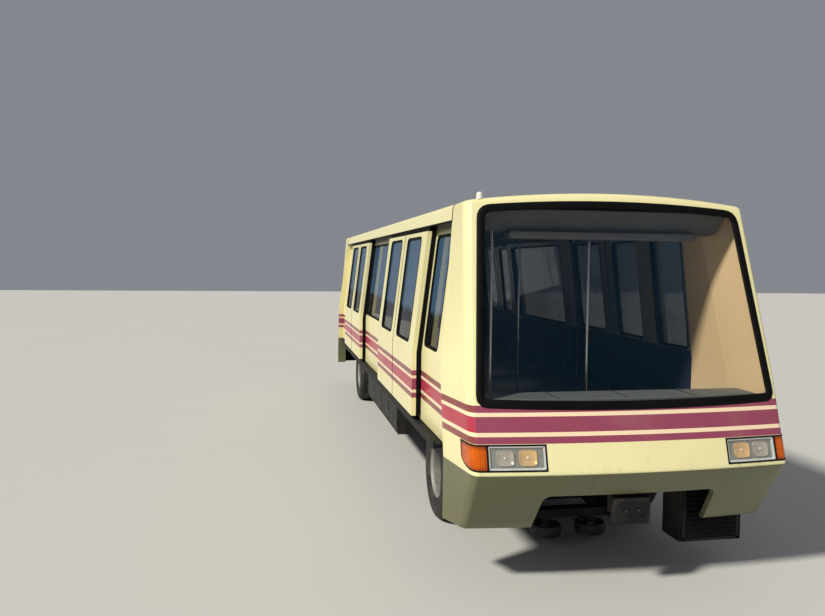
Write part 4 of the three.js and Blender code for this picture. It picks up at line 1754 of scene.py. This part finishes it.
@dataclass
class DoorLeaf:
    """One sliding leaf with its window, rubbers and brush strips."""

    name: str
    side: Side
    meeting_x: float
    inwards: int
    width: float = 1.255
    thickness: float = 0.048
    low: float = 1.1
    high: float = 2.985
    outer_stile: float = 0.265
    glass: float = 0.805
    window: Triple = (1.84, 2.93, 0.065)
    nosing: Pair = (0.007, 0.0022)
    nosing_depths: Pair = (-0.0015, 0.049)
    brush_start: float = 0.003
    brush_width: float = 0.022
    brush_top: float = 2.96
    brush_depths: Pair = (0.0475, 0.088)
    sweep_z: Pair = (1.092, 1.104)
    sweep_depths: Pair = (0.004, 0.044)
    top_brush_y: Pair = (1.241, 1.25)
    top_brush_z: Pair = (2.98, 3.055)

    @property
    def body(self) -> str:
        """The body that the leaf is."""
        return f"door_{self.name}_{self.side.value}"

    @property
    def outer_x(self) -> float:
        """Where the leaf's outer edge is."""
        return self.meeting_x - self.inwards * self.width

    def strip(self, x: Pair, z: Pair, depth: Pair) -> Form:
        """An upright bar that follows the leaf's lean.

        Args:
            x, z: its limits.
            depth: how far its outer and inner faces lie under the leaf's outer face.

        Returns:
            The bar.
        """
        x0, x1 = sorted(x)
        levels = [z[0]] + ([SHELL.waist] if z[0] < SHELL.waist < z[1] else []) + [z[1]]
        rows = []
        for level in levels:
            near, far = (self.side.sign * (SHELL.side(level) - below) for below in depth)
            corners = ((x0, near), (x1, near), (x1, far), (x0, far))
            rows.append([Vector((x, y, level)) for x, y in corners])
        return Form().skin(rows, ring=True, ends=True)

    def build(self) -> None:
        """Makes the leaf."""
        body = self.body
        rounded_node(body, "leaf", DOOR_PAINT, 0.003, body)
        a = self.outer_x + self.inwards * self.outer_stile
        b = a + self.inwards * self.glass
        window_gasket(
            body + "_gasket", self.side, (min(a, b), max(a, b), *self.window), (0.0, self.thickness), body
        )
        dress_node(f"door_glass_{self.name}_{self.side.value}", SIDE_GLASS)
        self.rubbers()

    def rubbers(self) -> None:
        """Nosing on the meeting edge, brush strips behind the outer edge and along the top, and a sweep."""
        way, out = self.inwards, self.side.sign
        nose = self.outer_x + way * self.width
        over, past = self.nosing
        rubber = self.strip((nose - way * over, nose + way * past), (self.low, self.high), self.nosing_depths)
        back = self.outer_x + way * self.brush_start
        brush = (back, back + way * self.brush_width)
        rubber.take(self.strip(brush, (self.low + 0.01, self.brush_top), self.brush_depths))
        sweep = (self.outer_x + way * 0.02, nose - way * 0.01)
        rubber.take(self.strip(sweep, self.sweep_z, self.sweep_depths))
        top = (self.outer_x + way * 0.004, nose - way * 0.004)
        rubber.block(top, tuple(out * y for y in self.top_brush_y), self.top_brush_z)
        rubber.piece(self.body + "_rubbers", RUBBER, self.body, edge=0.0015)


@dataclass
class Roof:
    """The crowned roof between the caps with its seams and joints, and the ceiling panels."""

    bottom: float = 3.147
    header_foot: float = 3.031
    gap: float = 0.0003
    hollow: Pairs = ((1.04, 3.0), (1.04, 3.15), (0.7, 3.195))
    stations: Numbers = (-1, -0.6, -0.2, 0.2, 0.6, 1)
    eaves_guess: float = 3.17
    eaves_steps: int = 6
    crown_steps: int = 14
    seams: Numbers = (-4.0, -2.0, 0.0, 2.0, 4.0)
    seam_top: Pairs = ((-0.02, -0.001), (-0.017, 0.0), (0.017, 0.0), (0.02, -0.001))
    seam_half: float = 0.02
    seam_depth: float = 0.004
    joint: Pairs = ((0.004, -0.002), (0.004, 0.0014), (-0.02, 0.0014), (-0.02, -0.002))
    joint_half: float = 1.3
    ceiling_half: Pairs = (
        (0.0, 3.118), (0.34, 3.116), (0.36, 3.108), (0.78, 3.1), (0.8, 3.106), (1.03, 3.098),
    )
    ceiling_end: float = 4.5
    ceiling_count: int = 6
    ceiling_gap: float = 0.004
    ceiling_depth: float = 0.012

    def section(self, depth: float) -> Outline:
        """Outer line of the roof, from its left lower edge over the crown to the right.

        Args:
            depth: how far it is under the outer surface.

        Returns:
            The line's (y, z) points.
        """
        ease = SHELL.roof_ease
        half: Outline = [(SHELL.side(self.bottom) - depth, self.bottom)]
        for step in range(self.eaves_steps + 1):
            angle = step / self.eaves_steps * math.pi / 2
            z = self.eaves_guess
            for _ in range(4):
                y = SHELL.side(z) - depth - ease * (1 - math.cos(angle))
                z = SHELL.roof(y) - depth - ease * (1 - math.sin(angle))
            half.append((y, z))
        edge = half[-1][0]
        shares = [step / self.crown_steps for step in range(self.crown_steps - 1, -1, -1)]
        half += [(edge * share, SHELL.roof(edge * share) - depth) for share in shares]
        return half + [(-y, z) for y, z in reversed(half[:-1])]

    def build(self) -> None:
        """Makes the roof and the ceiling."""
        inner = [(-y, z) for y, z in self.hollow] + [(y, z) for y, z in reversed(self.hollow)]
        outline = self.section(self.gap) + [(y, max(z, self.bottom)) for y, z in inner]
        rows = []
        for share in self.stations:
            rows.append([Vector((share * (SHELL.cap_rear(z) - self.gap), y, z)) for y, z in outline])
        Form().skin(rows, ring=True, ends=True).piece("roof_skin", ROOF_PAINT, replaces=["roof"])
        self.ribs()
        self.seals()
        self.ceiling()

    def ribs(self) -> None:
        """The low ribs over the roof's seams."""
        ribs = Form()
        line = self.section(0.0)[4:-4]
        for x in self.seams:
            rows = [[Vector((x + dx, y, z + rise)) for y, z in line] for dx, rise in self.seam_top]
            for dx in (self.seam_half, -self.seam_half):
                rows.append([Vector((x + dx, y, z - self.seam_depth)) for y, z in line])
            ribs.skin(rows, wrap=True)
        ribs.piece("roof_seams", ROOF_PAINT)

    def seals(self) -> None:
        """The thin black joint between the roof and each cap."""
        seals = Form()
        foot = (SHELL.side(self.header_foot), self.header_foot)
        line = [foot, *self.section(0.0), (-foot[0], foot[1])]
        for end in End:
            rows = []
            for run, rise in self.joint:
                place = []
                for y, z in line:
                    x = end.sign * (SHELL.cap_rear(z) + run)
                    lift = rise if z > self.eaves_guess else 0.0
                    place.append(Vector((x, y * (1 + rise / self.joint_half), z + lift)))
                rows.append(place)
            seals.skin(rows, wrap=True)
        seals.piece("roof_joints", RUBBER, crisp=60)

    def ceiling(self) -> None:
        """Ceiling panels between the ends, with a shallow light trough along each side."""
        panels = Form()
        line = [(-y, z) for y, z in reversed(self.ceiling_half[1:])] + list(self.ceiling_half)
        pitch = 2 * self.ceiling_end / self.ceiling_count
        for index in range(self.ceiling_count):
            x0 = -self.ceiling_end + pitch * index + self.ceiling_gap
            x1 = x0 + pitch - 2 * self.ceiling_gap
            places = ((x0, 0), (x1, 0), (x1, self.ceiling_depth), (x0, self.ceiling_depth))
            panels.skin([[Vector((x, y, z + rise)) for y, z in line] for x, rise in places], wrap=True)
        panels.piece("ceiling_panels", CEILING)


@dataclass
class CabinEnd(EndPart):
    """The cabin's trim in one half of the car: head panel, air duct and dado."""

    head_panel: Pairs = (
        (5.085, 3.112), (4.985, 3.03), (4.905, 2.953), (4.895, 2.962), (4.975, 3.04), (5.07, 3.125),
    )
    head_clearance: float = 0.175
    shelf: Pairs = ((4.78, 2.93), (4.9, 2.945), (4.9, 2.957), (4.78, 2.942))
    shelf_half: float = 1.09
    duct_x: Pair = (4.84, 4.985)
    duct: Opening = (-0.865, 0.865, 2.875, 2.941, 0.03)
    slat_count: int = 16
    slat_from: float = -0.75
    slat_pitch: float = 0.1
    slat_half: float = 0.036
    slat_x: Pair = (4.9845, 4.9865)
    slat_z: Pair = (2.9, 2.914)
    bracket_ys: Numbers = (-0.7, 0.0, 0.7)
    bracket_half: float = 0.03
    bracket_x: Pair = (4.86, 4.89)
    bracket_z: Pair = (2.935, 2.95)
    dado_y: float = 1.2585
    dado_xs: Pairs = ((3.36, 4.3), (0.02, 1.28))
    heater_depth: float = 0.07
    heater_z: Pair = (1.152, 1.36)
    rail_depth: float = 0.018
    rail_z: Pair = (1.796, 1.822)

    def build(self) -> None:
        """Makes the trim."""
        self.head()
        self.air_duct()
        self.dado()

    def head(self) -> None:
        """The sloping panel behind the windscreen's head, with a shelf along its foot."""
        cover = Form()
        rows = []
        for x, z in self.head_panel:
            half = SHELL.side(z) - self.head_clearance
            rows.append([Vector((x, y * half, z)) for y in (-1, -0.5, 0, 0.5, 1)])
        cover.skin(rows, wrap=True)
        cover.prism(self.shelf, -self.shelf_half, self.shelf_half, "y")
        self.add(cover, "head_panel", CEILING, edge=0.002)

    def air_duct(self) -> None:
        """The round-ended air duct along the head panel's foot, with its grilles and brackets."""
        box = Form().prism(rectangle(*self.duct), *self.duct_x, "x")
        self.add(box, "air_duct", DUCT_GREY, edge=0.012)
        slats = Form()
        for index in range(self.slat_count):
            y = self.slat_from + self.slat_pitch * index
            slats.block(self.slat_x, (y - self.slat_half, y + self.slat_half), self.slat_z)
        for y in self.bracket_ys:
            slats.block(self.bracket_x, (y - self.bracket_half, y + self.bracket_half), self.bracket_z)
        self.add(slats, "duct_grilles", DUCT_GREY, edge=0.0008)

    def dado(self) -> None:
        """Heater boxes along the walls beside the doors, and a rail over the dark lower panels."""
        trim = Form()
        for side in Side:
            y = side.sign * self.dado_y
            for span in self.dado_xs:
                trim.block(span, (y, y - side.sign * self.heater_depth), self.heater_z)
                trim.block(span, (y, y - side.sign * self.rail_depth), self.rail_z)
        self.add(trim, "dado_trim", DADO_PAINT, edge=0.006)


@dataclass
class Cabin:
    """What stands in the cabin: the floor, the poles and what its two ends have."""

    pole_radius: float = 0.0125
    pole_top: float = 3.105
    pole_breaks: Pair = (1.7, 2.4)
    poles: Pairs = ((4.88, -0.98), (4.65, 0.0), (2.7, 0.0), (0.75, 0.0))
    flange: Pairs = ((0.026, 0), (0.026, 0.004), (0.018, 0.008), (0.016, 0.02))

    def build(self) -> None:
        """Makes the floor, the upright poles with a flange at each end, and both ends' trim."""
        rounded_node("floor", "covering", FLOORING, 0.003)
        metal = Form()
        levels = (FLOOR_TOP, *self.pole_breaks, self.pole_top)
        for end in End:
            for x, y in self.poles:
                spot = end.turn @ Vector((x, y, 0))
                metal.tube([Vector((spot.x, spot.y, z)) for z in levels], self.pole_radius)
                for z, way in ((FLOOR_TOP, 1), (self.pole_top, -1)):
                    metal.lathe(spindle(0, self.flange, 0.02), Vector((spot.x, spot.y, z)), UP * way, 24)
        metal.piece("grab_poles", STEEL, crisp=50)
        for end in End:
            CabinEnd(end).build()


@dataclass
class Underframe:
    """The frame under the floor with the boxes hung from it."""

    box_half: float = 1.5
    box_y: float = 1.205
    box_bottom: float = 0.43
    box_doors: int = 4
    door_gap: float = 0.02
    door_top: float = 0.87
    end_x: float = 5.25
    end_y: Pair = (0.63, 1.21)
    end_bottom: float = 0.28
    louvre_count: int = 13
    louvre_pitch: float = 0.042
    louvre: Pairs = ((-0.002, 0.0), (0.02, -0.008), (0.021, -0.004), (-0.002, 0.03))
    border: float = 0.02
    border_x: Pair = (-0.002, 0.014)
    border_top: Pair = (0.838, 0.86)
    pipes: Pairs = ((0.5, 0.86), (0.56, 0.84), (-0.5, 0.86))
    pipe_xs: Numbers = (-3.0, -1.0, 1.0, 3.0)
    pipe_radius: float = 0.014
    clip_xs: Numbers = (-2.4, -1.7, 1.7, 2.4)
    clip_top: float = 0.905

    def build(self) -> None:
        """Makes the frame and the detail of its boxes."""
        rounded_node("underframe", "steel", FRAME_PAINT, 0.004)
        self.side_doors()
        self.brake_pipes()

    def side_doors(self) -> None:
        """Doors with latches and hinges on the long boxes, and louvres on the front left end box."""
        doors, metal = Form(), Form()
        bottom = self.box_bottom
        pitch = 2 * self.box_half / self.box_doors
        for out, index in ((side.sign, index) for side in Side for index in range(self.box_doors)):
            y = out * self.box_y
            x0 = -self.box_half + self.door_gap + index * pitch
            x1 = x0 + pitch - 2 * self.door_gap
            doors.block((x0, x1), (y - out * 0.002, y + out * 0.012), (bottom + 0.03, self.door_top))
            for z in (bottom + 0.12, 0.78):
                metal.block((x1 - 0.09, x1 - 0.05), (y + out * 0.011, y + out * 0.024), (z, z + 0.05))
            for z in (bottom + 0.1, 0.76):
                metal.block((x0 - 0.008, x0 + 0.03), (y + out * 0.008, y + out * 0.02), (z, z + 0.08))
        y0, y1 = self.end_y
        for index in range(self.louvre_count):
            z = self.end_bottom + 0.05 + index * self.louvre_pitch
            outline = [(self.end_x + dx, z + dz) for dx, dz in self.louvre]
            doors.prism(outline, y0 + 0.05, y1 - 0.05, "y")
        x = tuple(self.end_x + dx for dx in self.border_x)
        low = self.end_bottom + 0.012
        for z in ((low, self.end_bottom + 0.034), self.border_top):
            doors.block(x, (y0 + self.border, y1 - self.border), z)
        for y in (y0 + self.border, y1 - 0.05):
            doors.block(x, (y, y + 0.03), (low, self.border_top[1]))
        doors.piece("box_doors", BOX_PAINT, edge=0.003)
        metal.piece("box_latches", DULL_STEEL, edge=0.002)

    def brake_pipes(self) -> None:
        """Three pipes under the floor with their clips."""
        pipes = Form()
        for y, z in self.pipes:
            pipes.tube([Vector((x, y, z)) for x in self.pipe_xs], self.pipe_radius)
            for x in self.clip_xs:
                pipes.block((x - 0.02, x + 0.02), (y - 0.022, y + 0.022), (z - 0.018, self.clip_top))
        pipes.piece("brake_pipes", DULL_STEEL, crisp=50)


@dataclass
class RunningGear:
    """One steered bogie with its two twin wheels and four guide wheels."""

    end: End
    axle_x: float = 3.5
    wheel_y: float = 0.86
    radius: float = 0.5
    width: float = 0.285
    tyre_ys: Pair = (-0.158, 0.158)
    tyre_side: Pairs = (
        (0.262, 0.05), (0.27, 0.03), (0.285, 0.018), (0.32, 0.003), (0.37, -0.001), (0.42, 0.0),
        (0.452, 0.006), (0.474, 0.018), (0.487, 0.034), (0.496, 0.052),
    )
    grooves: Numbers = (-0.066, -0.022, 0.022, 0.066)
    groove_top: float = 0.006
    groove_foot: float = 0.004
    groove_depth: float = 0.011
    dish: Pairs = (
        (0.15, -0.29), (0.165, -0.25), (0.2, -0.2), (0.252, -0.17), (0.252, -0.15), (0.21, -0.16),
        (0.21, 0.01), (0.252, 0.12), (0.252, 0.14), (0.235, 0.13), (0.2, 0.052), (0.155, 0.032),
        (0.15, 0.14), (0.142, 0.16), (0.112, 0.172), (0.108, 0.178), (0.06, 0.18),
    )
    dish_ends: Pair = (-0.29, 0.18)
    nut_ring: Ring = (10, 0.176, 0.038)
    hub_bolt_ring: Ring = (6, 0.088, 0.177)
    guide: Triple = (0.81, 0.225, 0.12)
    tread: Pairs = ((0.112, 0.044), (0.118, 0.05), (0.138, 0.049), (0.145, 0.04), (0.1495, 0.015))
    tread_radius: float = 0.15
    disc: Pairs = (
        (0.03, -0.046), (0.034, -0.04), (0.04, -0.028), (0.098, -0.024), (0.104, -0.046), (0.113, -0.046),
        (0.113, 0.046), (0.104, 0.046), (0.098, 0.024), (0.05, 0.028), (0.046, 0.046),
    )
    disc_half: float = 0.046
    disc_bolt_ring: Ring = (6, 0.075, -0.024)
    motor_ribs: Ring = (9, -0.74, 0.06)
    motor_rib: Pairs = ((0.176, -0.006), (0.19, -0.006), (0.19, 0.006), (0.176, 0.006))
    spring_y: float = 0.29
    spring_zs: Numbers = (-0.02, 0.02, 0.06)
    spring_height: float = 0.745
    bellow: Pairs = ((0.03, -0.02), (0.07, -0.019), (0.086, 0.0), (0.07, 0.019), (0.03, 0.02))
    frame_bolts: Pair = (0.09, 0.44)
    frame_bolt_zs: Numbers = (0.4, 0.6)
    brake_at: Triple = (0.24, 0.3, 0.42)
    brake_pot: Pairs = ((0.07, 0), (0.078, 0.01), (0.078, 0.05), (0.06, 0.07), (0.03, 0.12))
    case_bolt_ring: Ring = (12, 0.205, 0.11)

    @property
    def bogie(self) -> str:
        """The bogie's body and node."""
        return self.end.value + "_bogie"

    @property
    def x(self) -> float:
        """Where the axle is."""
        return self.end.sign * self.axle_x

    def build(self) -> None:
        """Makes the bogie and its wheels."""
        rounded_node(self.bogie, "frame", FRAME_PAINT, 0.004, self.bogie)
        self.fittings()
        tyre, rim = self.twin()
        for side in Side:
            body = f"{self.end.value}_wheel_{side.value}"
            where = Matrix.Translation((self.x, side.sign * self.wheel_y, self.radius))
            if side is Side.RIGHT:
                where = where @ Matrix.Rotation(math.pi, 4, "X")
            tyre.piece(body + "_tyres", TYRE_RUBBER, body, change=where, crisp=45, replaces=[body])
            rim.piece(body + "_rims", RIM_PAINT, body, change=where, edge=0.002)
            for lead, way in (("lead", 1), ("trail", -1)):
                self.guide_wheel(f"{self.end.value}_guide_{lead}_{side.value}", way, side)

    def tyre_profile(self, y: float) -> Outline:
        """Section of one tyre with four grooves in its tread.

        Args:
            y: the tyre's middle.

        Returns:
            The section's (radius, y) points.
        """
        half = self.width / 2
        crown, foot = self.radius, self.radius - self.groove_depth
        grooves = []
        for groove in self.grooves:
            grooves += [(crown, groove - self.groove_top), (foot, groove - self.groove_foot)]
            grooves += [(foot, groove + self.groove_foot), (crown, groove + self.groove_top)]
        left = [(radius, -half + inset) for radius, inset in self.tyre_side]
        right = [(radius, -along) for radius, along in reversed(left)]
        return [(radius, along + y) for radius, along in left + grooves + right]

    def twin(self) -> tuple[Form, Form]:
        """The parts of a twin wheel round its own centre.

        Returns:
            The two tyres, and the rims with dish, hub, nuts and bolts.
        """
        tyre, rim = Form(), Form()
        half = self.width / 2 - 0.03
        for y in self.tyre_ys:
            tyre.lathe(self.tyre_profile(y), Vector(), LEFTWARD, 72)
            near, far = y - half, y + half
            ring = [
                (0.273, near), (0.279, near - 0.006), (0.279, near), (0.264, near + 0.02),
                (0.262, far - 0.02), (0.279, far), (0.279, far + 0.006), (0.27, far + 0.004),
                (0.25, far - 0.02), (0.248, near + 0.02),
            ]
            rim.lathe(ring, Vector(), LEFTWARD, 56)
        rim.lathe(spindle(self.dish_ends[0], self.dish, self.dish_ends[1]), Vector(), LEFTWARD, 56)
        rings = ((WHEEL_NUT, self.nut_ring), (bolt(0.008, 0.006), self.hub_bolt_ring))
        for section, (count, radius, y) in rings:
            for x, z in around(count, radius):
                rim.lathe(section, Vector((x, y, z)), LEFTWARD, 6)
        return tyre, rim

    def guide_wheel(self, body: str, way: int, side: Side) -> None:
        """A horizontal guide wheel: rubber tread on a steel disc with bolts.

        Args:
            body: the body that it is.
            way: whether it is before the axle, 1, or behind it, -1.
            side: the car's side.
        """
        reach, y, z = self.guide
        centre = Vector((self.x + way * reach, side.sign * y, z))
        tread = [(radius, -up) for radius, up in self.tread] + [(self.tread_radius, 0.0)]
        tread += reversed(self.tread)
        Form().lathe(tread, centre, UP, 56).piece(body + "_tread", ROLLER_RUBBER, body, replaces=[body])
        hub = Form().lathe(spindle(-self.disc_half, self.disc, self.disc_half), centre, UP, 48)
        count, radius, height = self.disc_bolt_ring
        for dx, dy in around(count, radius):
            hub.lathe(bolt(0.009, 0.007), centre + Vector((dx, dy, height)), -UP, 6)
        hub.piece(body + "_disc", DULL_STEEL, body, edge=0.0015)

    def fittings(self) -> None:
        """Air springs, motor ribs, bolts and brake pots on the bogie's frame."""
        x = self.x
        parts, bellows = Form(), Form()
        count, first, pitch = self.motor_ribs
        for index in range(count):
            parts.lathe(self.motor_rib, Vector((x + (first + index * pitch), 0, self.radius)), FORWARD, 32)
        for side in Side:
            out = side.sign
            for z in self.spring_zs:
                bellows.lathe(self.bellow, Vector((x, out * self.spring_y, self.spring_height + z)), UP, 28)
            reach, y = self.frame_bolts
            for dx in (-reach, reach):
                for z in self.frame_bolt_zs:
                    parts.lathe(BOLT_HEAD, Vector((x + dx, out * y, z)), LEFTWARD * out, 6)
            dx, y, z = self.brake_at
            pot = spindle(0, self.brake_pot, 0.12)
            parts.lathe(pot, Vector((x + dx, out * y, z)), Vector((-1, 0, 0.3)), 28)
        count, radius, y = self.case_bolt_ring
        for dx, dz in around(count, radius):
            for way in (1, -1):
                spot = Vector((x + dx, way * y, self.radius + dz))
                parts.lathe(bolt(0.011, 0.008), spot, LEFTWARD * way, 6)
        parts.piece(self.bogie + "_fittings", DULL_STEEL, self.bogie, edge=0.0015)
        bellows.piece(self.bogie + "_air_springs", RUBBER, self.bogie, crisp=50)


@dataclass
class Studio:
    """The pale floor, the soft lights and the camera at the photograph's view."""

    floor_half: float = 60
    floor_corner: float = 10
    floor_depth: float = 0.02
    camera_at: Triple = (11.1112, -2.8268, 2.6507)
    yaw: float = 0.1847
    pitch: float = 0.0581
    roll: float = 0.0109
    focal: float = 755.66
    image_width: float = 825.0
    sensor: float = 36.0
    clip: Pair = (0.05, 300)
    key_from: Triple = (0.58, -0.98, 0.98)
    key_strength: float = 3.8
    key_spread: float = 6.0
    key_colour: Triple = (1.0, 0.955, 0.87)
    sky_strength: float = 0.27
    sky_colour: Colour = (0.86, 0.91, 1.0, 1)

    def build(self) -> None:
        """Makes the set."""
        self.floor()
        self.lights()
        self.camera()

    def floor(self) -> None:
        """A wide pale floor with a faint mottle."""
        half = self.floor_half
        outline = rectangle(-half, half, -half, half, self.floor_corner)
        made = Form().prism(outline, -self.floor_depth, 0.0, "z").to_object("studio_floor")
        made.data.materials.append(PALE_FLOOR.material())

    def lights(self) -> None:
        """A broad key light from the car's right front, and an even sky all round."""
        lamp = bpy.data.lights.new("key", "SUN")
        lamp.energy = self.key_strength
        lamp.angle = math.radians(self.key_spread)
        lamp.color = self.key_colour
        held = bpy.data.objects.new("key", lamp)
        held.rotation_mode = "QUATERNION"
        held.rotation_quaternion = (-Vector(self.key_from)).to_track_quat("-Z", "Y")
        bpy.context.scene.collection.objects.link(held)
        sky = bpy.data.worlds.new("studio sky")
        sky.use_nodes = True
        shade = sky.node_tree.nodes["Background"]
        shade.inputs["Color"].default_value = self.sky_colour
        shade.inputs["Strength"].default_value = self.sky_strength
        bpy.context.scene.world = sky
        bpy.context.scene.view_settings.view_transform = "Standard"

    def camera(self) -> None:
        """The camera of the photograph."""
        lens = bpy.data.cameras.new("view")
        lens.sensor_width = self.sensor
        lens.lens = self.focal / self.image_width * self.sensor
        lens.clip_start, lens.clip_end = self.clip
        held = bpy.data.objects.new("view", lens)
        level = math.cos(self.pitch)
        ahead = Vector((-math.cos(self.yaw) * level, math.sin(self.yaw) * level, -math.sin(self.pitch)))
        right = Vector((math.sin(self.yaw), math.cos(self.yaw), 0))
        up = right.cross(ahead)
        cosine, sine = math.cos(self.roll), math.sin(self.roll)
        across, high = cosine * right + sine * up, cosine * up - sine * right
        turn = Matrix((across, high, -ahead)).transposed().to_4x4()
        held.matrix_world = Matrix.Translation(self.camera_at) @ turn
        bpy.context.scene.collection.objects.link(held)
        bpy.context.scene.camera = held


# Each leaf's letter, where its meeting edge is, and which way along X that edge looks.
DOOR_LEAVES = (("a", 2.328, -1), ("b", 2.322, 1), ("c", -2.322, -1), ("d", -2.328, 1))


def main() -> None:
    """Builds the car and the studio."""
    logging.basicConfig(level=logging.INFO, format="%(message)s")
    Studio().build()
    for end in End:
        EndCap(end).build()
    for side in Side:
        SideWall(side).build()
        for name, meeting_x, inwards in DOOR_LEAVES:
            DoorLeaf(name, side, meeting_x, inwards).build()
    Roof().build()
    Cabin().build()
    Underframe().build()
    for end in End:
        RunningGear(end).build()


if __name__ == "__main__":
    main()
